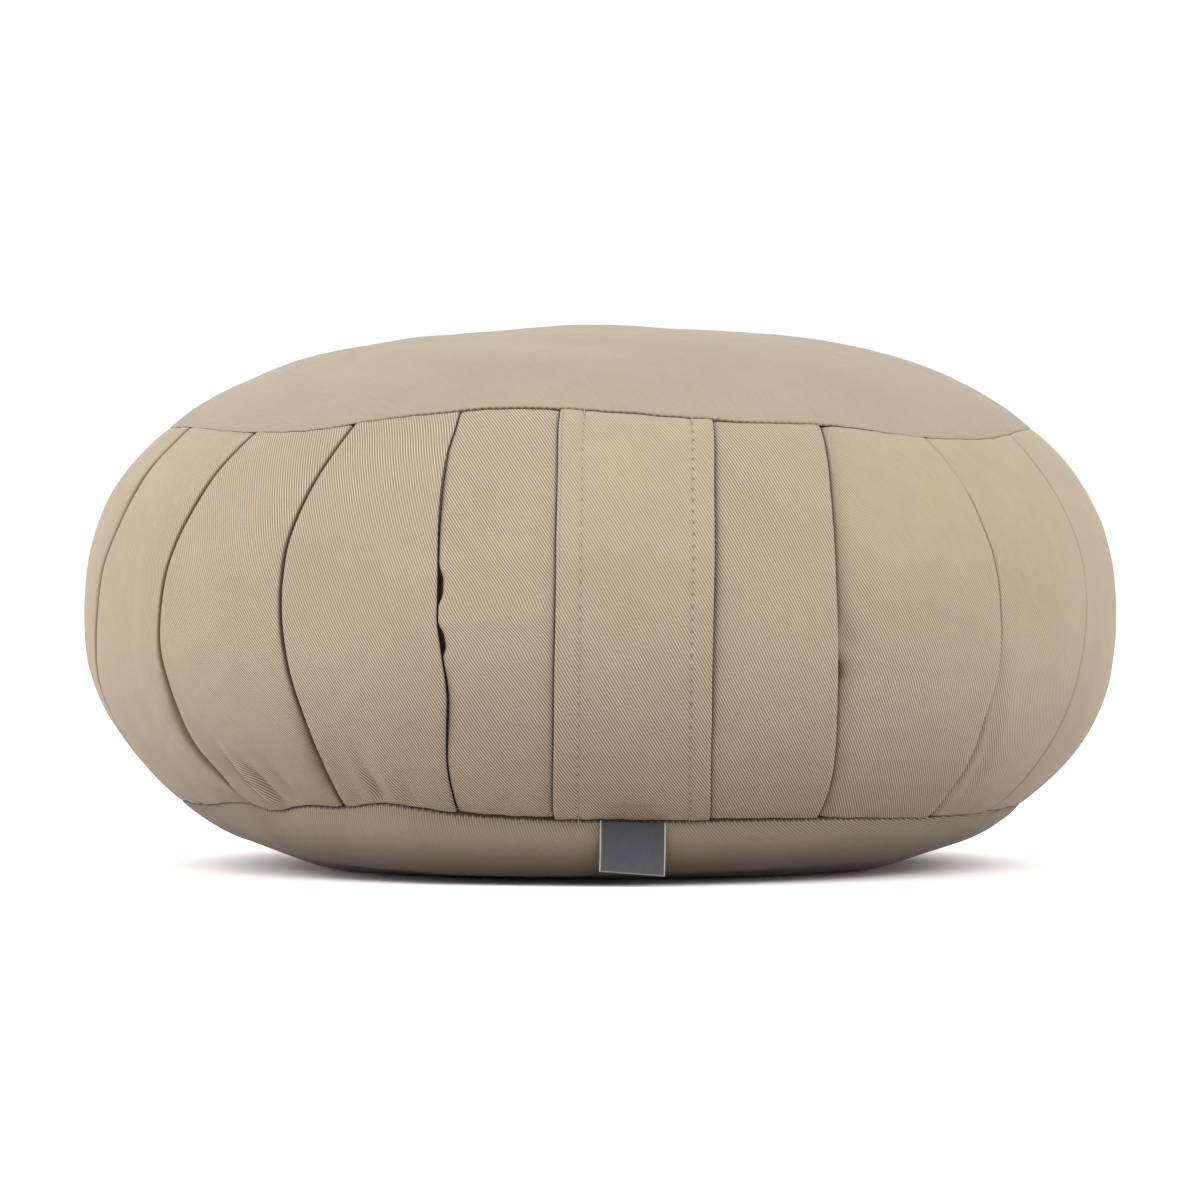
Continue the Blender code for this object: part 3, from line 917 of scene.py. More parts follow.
@dataclass
class PleatedBand:
    """The filled side: a band of cloth folded into pleats and sewn to both round panels."""

    outline: Outline
    relief: Relief
    lines: list[FoldLine]
    row_height: float = 1.25 * MM
    line_steps: int = 4
    puff: float = 1.0 * MM        # how far a panel swells out where no simulation says it
    swell: Swell | None = None    # what the simulation of the filling says
    hidden_depth: float = 3.6 * MM  # how far inside the cushion the band is closed
    roll: SeamRoll = SeamRoll(pull=0.45 * MM, pull_reach=3.0 * MM)

    # the crevice beside a folded edge
    slit_reach: float = 2.4 * MM
    slit_depth: float = 3.3 * MM
    least_strength: float = 0.02
    settle_reach: float = 4.0 * MM  # it opens up over this distance from a seam
    settle_least: float = 0.12
    least_gap: float = 0.12 * MM
    width_gain: float = 2.0       # it has its full width from half the fold's strength up
    width_least: float = 0.1
    crease_gain: float = 1.2      # and its full shadow from rather more
    gape_depth: float = 1.5       # how much deeper it is, for how much wider it gapes
    gape_sink: float = 0.8        # how far the cloth beneath is sunk, for the same
    gape_reach: float = 0.8 * MM
    # the band under and beside the strip
    bed_depth: float = 1.2 * MM
    beside_dip: float = 0.2 * MM
    beside_reach: float = 2.5 * MM
    beside_wall: float = 0.25 * MM

    # inset from the folded edge and depth, from the slit round the fold and on to the panel
    over_profile: Knots = (
        (1.3, 2.75), (0.7, 2.05), (0.22, 1.45), (0.0, 0.85), (0.06, 0.45), (0.28, 0.16), (0.7, 0.0),
        (1.4, -0.10), (2.6, -0.12), (4.5, -0.07), (7.5, 0.0),
    )
    # how far the ribs are pressed flat: by angle from the front, by height, and at the upper right
    worn_ends: Knots = ((34.0, 0.0), (48.0, 0.2), (58.0, 0.5), (70.0, 0.8), (110.0, 0.6), (180.0, 0.2))
    worn_up: Knots = ((0.03, 0.0), (0.05, 0.12), (0.08, 0.32), (0.14, 0.33))
    worn_right: Knots = ((18.0, 0.0), (30.0, 0.35), (45.0, 0.7), (70.0, 0.75), (120.0, 0.0))
    worn_right_above: Knots = ((0.085, 0.0), (0.115, 1.0))
    # cloth of that profile deeper than this is turned under, and takes this share of the relief
    hidden_below: float = 0.5 * MM
    hidden_share: float = 0.4
    # cloth beneath, inside the crevice: share of its reach and its depth, and of the relief it takes
    under_slit: tuple[tuple[float, ...], ...] = ((-1.0, 1.0, 0.0), (-0.55, 0.98, 0.0), (0.0, 0.94, 0.3))
    # where it comes out: share of the crevice's width, most of its depth, and share of the relief
    under_lip: tuple[float, float, float] = (0.75, 0.9, 0.7)
    # distance beyond the crevice at which the cloth beneath has columns
    under_steps: tuple[float, ...] = (0.0, 0.14, 0.32, 0.6, 1.0, 1.6, 2.6, 4.0, 6.0, 9.0)
    beside_steps: tuple[float, ...] = (0.0, 0.2, 0.45, 0.8, 1.3, 2.1, 3.4, 5.2, 7.8)
    # closed ends: share of the way in to the middle, and how evenly the points are spread there
    closing: Knots = (
        (0.0, 0.0), (0.012, 0.1), (0.06, 0.4), (0.2, 1.0), (0.4, 1.0), (0.65, 1.0), (0.9, 1.0),
    )

    def rows(self) -> tuple[Array, Array]:
        """Rows up the side.

        Returns:
            Share of the side's travel of each row, and its usual distance from the bottom seam.
        """
        low, high = self.outline.usual_seams()
        usual = high - low
        inner = usual - 2 * SEAM_ROWS[-1]
        count = int(round(inner / self.row_height))
        middle = SEAM_ROWS[-1] + inner * np.arange(1, count) / count
        distance = np.concatenate([SEAM_ROWS, middle, usual - SEAM_ROWS[::-1]])
        return distance / usual, distance

    def turned_in(self, angles: Array, distance: Array) -> tuple[Array, Array]:
        """How the cloth turns in at both seams.

        Args:
            angles: Angles, rows by columns.
            distance: Distance of each row from the bottom seam.

        Returns:
            Depths, and how near a seam's line the cloth lies from 0 to 1, rows by columns.
        """
        away = np.minimum(distance, distance[-1] - distance)[:, None]
        gape = self.roll.gape(angles, (distance > distance[-1] / 2)[:, None])
        return self.roll.depth(away, gape), self.roll.line(away, gape)

    def travels(self, angles: Array, shares: Array) -> Array:
        """Travels of the rows at some angles.

        Args:
            angles: Rows by columns, or one column with one for each row.
            shares: Share of the side's travel, one for each row.

        Returns:
            Travels, in the shape of the angles.
        """
        low, high = self.outline.seams(angles)
        low, high = low + self.roll.clear(angles, False), high - self.roll.clear(angles, True)
        return low + (high - low) * shares.reshape([-1] + [1] * (angles.ndim - 1))

    def line_angles(self, line: FoldLine, shares: Array) -> Array:
        """Follow a line up the side.

        Args:
            line: The line.
            shares: Share of the side's travel, one for each row.

        Returns:
            Angles, one for each row.
        """
        # a point's height hangs on its angle and the other way round, so a few steps find both
        angle = np.full(shares.size, line.path[len(line.path) // 2][1])
        for _ in range(self.line_steps):
            angle = line.angle(self.outline.height_at(self.travels(angle, shares)))
        return angle

    def edge(self, line: FoldLine, kind: ClothEdge, shares: Array, away: Array) -> tuple[Array, ...]:
        """Columns beside a line.

        Args:
            line: The line.
            kind: How the cloth lies on this side of it.
            shares: Share of the side's travel of each row.
            away: Distance of each row from the nearer seam.

        Returns:
            The line's angle in each row; then rows by columns, from the line inwards, the degrees
            from it, the depths, how much of the panel's own relief shows and how near the crease
            beside a folded edge they are, both from 0 to 1.
        """
        angles = self.line_angles(line, shares)
        travel = self.travels(angles, shares)
        heights = self.outline.height_at(travel)
        degrees = np.degrees(1 / self.outline.radius_at(travel))[:, None]
        strength = np.clip(smooth_curve(line.strength, heights), self.least_strength, 1)[:, None]
        settle = np.clip(away / self.settle_reach, self.settle_least, 1)[:, None] * strength
        gape = np.maximum(line.width(heights)[:, None] - line.gap, 0)
        bottom = (self.slit_depth + self.gape_depth * gape) * strength
        dip = smooth_curve(line.dip, heights)[:, None] * MM
        crevice = Crevice(line, strength, settle, gape, self.slit_reach * settle, bottom, dip)
        columns = {OVER: self._over, UNDER: self._under, BESIDE: self._beside, BED: self._bed}[kind]
        inset, depth, shown, crease = columns(crevice)
        shown, crease = (np.broadcast_to(part, depth.shape) for part in (shown, crease))
        return angles, inset * degrees, depth, shown, crease

    def _over(self, crevice: Crevice) -> tuple[Array | float, ...]:
        """Roll the cloth round a folded edge.

        Args:
            crevice: The crevice beside it.

        Returns:
            Inset from the line, depth, share of the relief shown, and nearness to the crease.
        """
        inset, depth = np.array(self.over_profile).T * MM
        hidden = depth > self.hidden_below
        inset = np.hstack([crevice.reach, np.where(hidden, inset * crevice.settle, inset)])
        depth = np.hstack([crevice.bottom, depth * crevice.strength])
        return inset, depth, np.append(0.0, np.where(hidden, self.hidden_share, 1.0)), 0.0

    def _under(self, crevice: Crevice) -> tuple[Array | float, ...]:
        """Run the cloth on beneath its neighbour's folded edge.

        Args:
            crevice: The crevice it comes out of.

        Returns:
            Inset from the line, depth, share of the relief shown, and nearness to the crease.
        """
        line, bottom, dip = crevice.line, crevice.bottom, crevice.dip
        steps = np.array(self.under_steps) * MM
        width = np.clip(crevice.strength * self.width_gain, self.width_least, 1)
        width = width * np.maximum(line.gap + crevice.gape, self.least_gap)
        rise = line.wall * np.exp(-steps / line.wall_reach) + line.step * np.exp(-steps / line.slope)
        deep = crevice.gape * self.gape_sink * np.exp(-steps / self.gape_reach)
        depth = (rise + deep) * crevice.strength + dip * np.exp(-steps / line.dip_reach)
        reach, sunk, relief = np.array(self.under_slit).T
        lip_place, lip_depth, lip_relief = self.under_lip
        lip = (np.minimum(depth[:, :1], bottom * lip_depth) + bottom) / 2
        inset = np.hstack([crevice.reach * reach, lip_place * width, width + steps])
        shown = np.concatenate([relief, [lip_relief], np.ones(steps.size)])
        near = np.exp(-((steps / (line.crease + line.crease_dip * dip)) ** line.crease_end))
        near = near * np.clip(crevice.strength * self.crease_gain, 0, 1)
        crease = np.hstack([np.repeat(near[:, :1], relief.size + 1, axis=1), near])
        return inset, np.hstack([bottom * sunk, lip, depth]), shown, crease

    def _beside(self, crevice: Crevice) -> tuple[Array | float, ...]:
        """Dip the cloth under the strip's edge.

        Args:
            crevice: Values of the line there.

        Returns:
            Inset from the line, depth, share of the relief shown, and nearness to the crease.
        """
        inset = np.tile(np.array(self.beside_steps) * MM, (len(crevice.dip), 1))
        depth = self.beside_dip * np.exp(-inset / self.beside_reach)
        depth = depth + (self.bed_depth - self.beside_dip) * np.exp(-inset / self.beside_wall)
        return inset, depth + crevice.dip * np.exp(-inset / crevice.line.dip_reach), 1.0, 0.0

    def _bed(self, crevice: Crevice) -> tuple[Array | float, ...]:
        """Lay the cloth flat under the strip."""
        return np.zeros_like(crevice.dip), self.bed_depth + crevice.dip, 1.0, 0.0

    def panel(self, left: FoldLine, right: FoldLine, turn: float) -> tuple[Array, ...]:
        """Grid of one panel of the band.

        Args:
            left: Line on its left.
            right: Line on its right.
            turn: Angle to add to the right line, a full turn for the last panel.

        Returns:
            Angles, travels and depths, and then how far inside a fold and how near a seam's line,
            all rows by columns.
        """
        shares, distance = self.rows()
        away = np.minimum(distance, distance[-1] - distance)
        start, inset_l, depth_l, shown_l, crease_l = self.edge(left, left.right, shares, away)
        finish, inset_r, depth_r, shown_r, crease_r = self.edge(right, right.left, shares, away)
        share = np.linspace(0, 1, left.columns + 2)[None, 1:-1]
        angles_l, angles_r = start[:, None] + inset_l, finish[:, None] - inset_r + turn
        between = angles_l[:, -1:] + (angles_r[:, -1:] - angles_l[:, -1:]) * share
        angles = np.hstack([angles_l, between, angles_r[:, ::-1]])
        between = depth_l[:, -1:] * (1 - eased(share)) + depth_r[:, -1:] * eased(share)
        depths = np.hstack([depth_l, between, depth_r[:, ::-1]])
        shown = np.hstack([shown_l, np.ones_like(between), shown_r[:, ::-1]])
        crease = np.hstack([crease_l, np.zeros_like(between), crease_r[:, ::-1]])
        roll, line = self.turned_in(angles, distance)
        fold = np.maximum(inside_fold(depths, roll), crease)
        across = np.clip((angles - start[:, None]) / (finish + turn - start)[:, None], 0, 1)
        puff = 0.0 if left.right is BED else self.puffed(left, across, shares)
        travels = self.travels(angles, shares)
        own = self.relief.at(angles, travels, left.name) - puff
        return angles, travels, depths + roll + own * shown, fold, line

    def puffed(self, left: FoldLine, across: Array, shares: Array) -> Array:
        """How far the filling swells the panel to the right of a line.

        Args:
            left: The line.
            across: Share of the way across the panel, rows by columns.
            shares: Share of the way up the side, one for each row.

        Returns:
            How far the cloth stands out.
        """
        if self.swell is None:
            return self.puff * 4 * across * (1 - across)
        return self.swell.at(self.lines.index(left), across, shares)

    def build(self, material: Material) -> Object:
        """Make the band with its filling as one closed piece.

        Args:
            material: Twill of the band.

        Returns:
            The object.
        """
        mesh = ClothMesh()
        ends = []
        for index, left in enumerate(self.lines):
            right = self.lines[(index + 1) % len(self.lines)]
            turn = FULL_TURN if index == len(self.lines) - 1 else 0.0
            angles, travels, depths, fold, line = self.panel(left, right, turn)
            points = self.outline.place(angles, travels, depths)
            mesh.add_grid(
                points, self.cloth_places(points, travels, index), fold=fold, seam=line,
                worn=self.worn(angles, travels), along=np.radians(angles) * self.outline.radius,
            )
            ends.append((angles[[0, -1], :-1], points[[0, -1], :-1]))
        angles, points = (np.concatenate(part, axis=1) for part in zip(*ends))
        for top in (False, True):
            self._close(mesh, angles[int(top)], points[int(top)], top)
        return mesh.build("pleated_side", [material])

    def worn(self, angles: Array, travels: Array) -> Array:
        """Find how far the ribs are pressed flat.

        Args:
            angles: Angles round the cushion, in degrees.
            travels: Travels along the outline.

        Returns:
            The wear, from nought to one.
        """
        turn = (angles + FULL_TURN / 2) % FULL_TURN - FULL_TURN / 2
        heights = self.outline.height_at(travels)
        corner = smooth_curve(self.worn_right, turn) * smooth_curve(self.worn_right_above, heights)
        ends = smooth_curve(self.worn_ends, np.abs(turn))
        return 1 - (1 - ends) * (1 - corner) * (1 - smooth_curve(self.worn_up, heights))

    def cloth_places(self, points: Array, travels: Array, index: int) -> Array:
        """UVs of one panel: its own cloth, measured round from its middle and up the side.

        Args:
            points: The panel's points, rows by columns by three.
            travels: Their travels.
            index: Number of the panel, which sets how its grain lies.

        Returns:
            UVs in metres, rows by columns by two.
        """
        steps = np.linalg.norm(np.diff(points, axis=1), axis=-1)
        along = np.concatenate([np.zeros((len(points), 1)), np.cumsum(steps, axis=1)], axis=1)
        along = along - along[:, along.shape[1] // 2][:, None]
        draw = np.random.default_rng(100 + index)
        shift, lean = draw.uniform(0, 0.05), np.radians(draw.normal(0, 2.2))
        u, v = along + shift, travels - np.mean(travels)
        return np.stack([u * np.cos(lean) - v * np.sin(lean), u * np.sin(lean) + v * np.cos(lean)], -1)

    def _close(self, mesh: ClothMesh, angles: Array, ring: Array, top: bool) -> None:
        """Close the filling over or under the band, where the round panels hide it.

        Args:
            mesh: Mesh that gets the closing grid.
            angles: Angles of the band's end row.
            ring: Points of that row.
            top: Whether it is the crown, or else the base.
        """
        out = self.outline
        low, high = out.seams(angles)
        clear = self.roll.clear(angles, top)
        seam = high - clear if top else low + clear
        middle = out.total if top else 0.0
        share, evened = np.array(self.closing).T[..., None]
        travels = seam + (middle - seam) * share
        in_order, even = np.sort(angles), FULL_TURN / angles.size * np.arange(angles.size)
        even = even + np.mean(in_order - even)
        flat = in_order * (1 - evened) + even * evened
        points = out.place(flat, travels, self.hidden_depth + self.relief.at(flat, travels))
        points[0] = ring
        upward = 1 if top else -1
        mesh.add_grid(points[::upward], points[::upward, :, :2], closed=True)
        mesh.add_cap(points[-1], (0.0, 0.0, points[-1][:, 2].mean()), upward=top)


@dataclass
class FillingSimulation:
    """Presses the filling into the sewn cover with Blender's Cloth.

    It runs on a plain shell of the whole cover that starts a little drawn in, with its seams,
    folds and resting underside held. The folds are finer than the shell, so the shell goes and
    the band takes on how far it swelled.
    """

    band: PleatedBand
    columns: int = 12             # to a panel
    rows: int = 49                # from seam to seam
    round_rows: int = 14          # over each round panel
    middle: float = 0.020         # travel left to the cap in the middle of a round panel
    drawn_in: float = 3.0 * MM    # how much smaller it starts
    pressure: float = 4.0
    fullness: float = 0.015       # how much wider the cloth is cut than the shell
    fold_hold: float = 0.97       # how firmly a fold is held
    last_frame: int = 20
    cap: float = 2.0 * MM         # how far the cloth may stand out

    def run(self) -> Swell:
        """Simulate the cover and read how far it swells.

        Returns:
            The swell of every panel of the band.
        """
        out = self.band.outline
        angles, travels, drawn = self._shell()
        start = out.place(angles, travels, drawn)
        outward = (out.place(angles, travels, 0.0) - out.place(angles, travels, MM)) / MM
        end = self._simulate(start, self._held(angles, travels))
        stood = np.sum((end - start) * outward, axis=-1) - drawn
        side = stood[self.round_rows:-self.round_rows]
        side = side.reshape(self.rows, len(self.band.lines), self.columns).transpose(1, 0, 2)
        side = np.concatenate([side, np.roll(side, -1, axis=0)[:, :, :1]], axis=2)
        share = np.linspace(0, 1, self.columns + 1)
        side = side - side[:, :, :1] * (1 - share) - side[:, :, -1:] * share
        side = self.cap * np.tanh(side / self.cap)
        log.info("filling swells the panels out by %.2f mm at most", side.max() / MM)
        return Swell(side)

    def _shell(self) -> tuple[Array, Array, Array]:
        """Place the shell's points.

        Returns:
            Angles, travels and depths, in rows from the base to the crown.
        """
        band, out = self.band, self.band.outline
        shares = np.linspace(0, 1, self.rows)
        folds = np.array([band.line_angles(line, shares) for line in band.lines])
        folds = np.vstack([folds, folds[:1] + FULL_TURN]).T[:, :, None]
        step = np.arange(self.columns) / self.columns
        side = (folds[:, :-1] + np.diff(folds, axis=1) * step).reshape(self.rows, -1)
        inward = np.arange(1, self.round_rows + 1)[:, None] / self.round_rows
        low, high = band.travels(side[:1], shares[:1]), band.travels(side[-1:], shares[-1:])
        base = low + (self.middle - low) * inward[::-1]
        crown = high + (out.total - self.middle - high) * inward
        angles = np.vstack([np.repeat(side[:1], self.round_rows, 0), side,
                            np.repeat(side[-1:], self.round_rows, 0)])
        travels = np.vstack([base, band.travels(side, shares), crown])
        drawn = np.zeros_like(travels)
        drawn[self.round_rows:-self.round_rows] = np.sin(np.pi * shares)[:, None] ** 0.5
        drawn[-self.round_rows:] = inward ** 0.5
        return angles, travels, drawn * self.drawn_in

    def _held(self, angles: Array, travels: Array) -> Array:
        """Choose how firmly each point of the shell is held.

        Args:
            angles: Angles of the points.
            travels: Travels of the points.

        Returns:
            Firmness of each point, from nought to one.
        """
        held = np.zeros_like(travels)
        heights = self.band.outline.height_at(travels)
        for index, line in enumerate(self.band.lines):
            column = index * self.columns
            firm = np.clip(smooth_curve(line.strength, heights[:, column]), 0, 1)
            held[self.round_rows:-self.round_rows, column] = (
                self.fold_hold * firm[self.round_rows:-self.round_rows]
            )
        held[[self.round_rows, -self.round_rows - 1]] = 1.0
        held[travels < self.band.outline.rest_reach] = 1.0
        return held

    def _simulate(self, start: Array, held: Array) -> Array:
        """Let Blender's Cloth swell the shell.

        Args:
            start: The shell's points, rows by columns by three.
            held: How firmly each is held.

        Returns:
            Where the points end.
        """
        mesh = ClothMesh()
        mesh.add_grid(start, start[..., :2], closed=True)
        mesh.add_cap(start[0], start[0].mean(axis=0), upward=False)
        mesh.add_cap(start[-1], start[-1].mean(axis=0), upward=True)
        shell = mesh.build("filling_shell", [])
        shell_points = points_of(shell.data)
        order = self._order(start.reshape(-1, 3), shell_points)
        sewn = shell.vertex_groups.new(name="sewn")
        for index, weight in zip(order.tolist(), held.ravel().tolist()):
            if weight > 0:
                sewn.add([index], weight, "REPLACE")
        cloth = shell.modifiers.new("filling", "CLOTH")
        cloth.settings.vertex_group_mass = sewn.name
        cloth.settings.use_pressure = True
        cloth.settings.uniform_pressure_force = self.pressure
        cloth.settings.effector_weights.gravity = 0.0
        cloth.settings.rest_shape_key = self._cut_wider(shell, shell_points)
        cloth.collision_settings.use_collision = False
        cloth.point_cache.frame_end = self.last_frame
        scene = bpy.context.scene
        for frame_number in range(1, self.last_frame + 1):
            scene.frame_set(frame_number)
        graph = bpy.context.evaluated_depsgraph_get()
        end = points_of(shell.evaluated_get(graph).data)
        shell_data = shell.data
        bpy.data.objects.remove(shell)
        bpy.data.meshes.remove(shell_data)
        scene.frame_set(1)
        return end[order].reshape(start.shape)

    def _cut_wider(self, shell: Object, points: Array) -> bpy.types.ShapeKey:
        """Cut the cloth fuller round than the shell, so that it gathers.

        Args:
            shell: The shell.
            points: Its points.

        Returns:
            Shape key of the fuller cloth.
        """
        shell.shape_key_add(name="sewn_size")
        cut = shell.shape_key_add(name="cut_size")
        wider = points * (1 + self.fullness, 1 + self.fullness, 1.0)
        cut.data.foreach_set("co", wider.ravel())
        return cut

    @staticmethod
    def _order(points: Array, mesh_points: Array) -> Array:
        """Find each point in the mesh.

        Args:
            points: Points as they were placed.
            mesh_points: Points of the mesh, which may be in another order.

        Returns:
            Number in the mesh of each point.
        """
        tree = KDTree(len(mesh_points))
        for index, point in enumerate(mesh_points):
            tree.insert(point, index)
        tree.balance()
        return np.array([tree.find(point)[1] for point in points])


# ------------------------------------------------------------------------------- round panels
class PanelPlace(Enum):
    """Which round panel it is."""

    TOP = "top"
    BOTTOM = "bottom"


@dataclass
class RoundPanel:
    """Round of cloth sewn to the band: crowned on top, flat where it rests underneath."""

    outline: Outline
    relief: Relief
    place: PanelPlace
    thickness: float = 1.0 * MM
    rim_reach: float = 0.8 * MM   # over which its rim is turned in
    columns: int = 420
    row_length: float = 2.2 * MM
    worn_share: float = 0.93      # how far the ribs are pressed flat away from the seam
    worn_reach: float = 3.6 * MM
    painted_shade_height: float = 0.0175  # below this the cloth gets painted shade, darker towards the floor
    painted_shade_full: float = 0.002
    painted_shade_share: float = 0.98
    painted_shade_fade: float = 1.45
    roll: SeamRoll = SeamRoll(pull=0.2 * MM, pull_reach=4.0 * MM)

    def build(self, name: str, material: Material) -> Object:
        """Make the panel as a thin closed sheet with its rim turned in.

        Args:
            name: Name of the piece.
            material: Twill of the panel.

        Returns:
            The object.
        """
        out = self.outline
        top = self.place is PanelPlace.TOP
        angles = np.arange(self.columns) * FULL_TURN / self.columns - FULL_TURN / 2
        low, high = out.seams(angles)
        clear = self.roll.clear(angles, top)
        seam = high + clear if top else low - clear
        middle = out.total if top else 0.0
        span = np.abs(middle - seam)
        count = int(round((span.mean() - SEAM_ROWS[-1]) / self.row_length))
        inner = np.linspace(0, 1, count + 1)[1:-1]
        near = SEAM_ROWS[:, None] / span[None, :]
        rest = near[-1] + (1 - near[-1]) * inner[:, None]
        shares = np.vstack([near, rest])
        travels = seam + (middle - seam) * shares
        angles = np.broadcast_to(angles, travels.shape)
        away = np.abs(travels - seam)
        gape = self.roll.gape(angles, top)
        roll = self.roll.depth(away, gape)
        depths = roll + self.relief.at(angles, travels)
        outer = out.place(angles, travels, depths)
        turned = np.sign(middle - seam) * self.thickness * np.exp(-away / self.rim_reach)
        inside = out.place(angles, travels + turned, depths + self.thickness)
        places = self.cloth_places(angles, travels)
        # painted shade on the underside, growing darker down to where it meets the floor
        low_down = (self.painted_shade_height - outer[..., 2]) / (self.painted_shade_height - self.painted_shade_full)
        painted_shading = self.painted_shade_share * np.clip(low_down, 0, 1) ** self.painted_shade_fade
        mesh = ClothMesh()
        marks = {
            FOLD_NAME: np.maximum(inside_fold(0.0, roll), painted_shading),
            SEAM_NAME: self.roll.line(away, gape),
            ALONG_NAME: np.radians(angles) * out.radius,
            WORN_NAME: self.worn_share * (1 - np.exp(-away / self.worn_reach)),
        }
        for points, is_outer in ((outer, True), (inside, False)):
            mesh.add_grid(points, places, closed=True, flip=top is not is_outer, **marks)
            mesh.add_cap(points[-1], (0.0, 0.0, points[-1][:, 2].mean()), upward=top is is_outer)
        rim = np.stack([inside[0], outer[0]])
        # the turned-in rim is all painted shade
        mesh.add_grid(rim, places[[0, 0]], closed=True, flip=not top, fold=np.ones(rim.shape[:2]))
        return mesh.build(name, [material])

    def cloth_places(self, angles: Array, travels: Array) -> Array:
        """Lay the panel flat.

        Args:
            angles: Angles round the cushion, in degrees.
            travels: Travels along the outline.

        Returns:
            UVs in metres.
        """
        reach = self.outline.total - travels if self.place is PanelPlace.TOP else travels
        turn = np.radians(angles)
        forward = -1 if self.place is PanelPlace.TOP else 1
        return np.stack([reach * np.sin(turn), forward * reach * np.cos(turn)], axis=-1)

    def flat_radius(self) -> float:
        """Radius the panel was cut to, up to its seam."""
        low, high = self.outline.usual_seams()
        return self.outline.total - high if self.place is PanelPlace.TOP else low


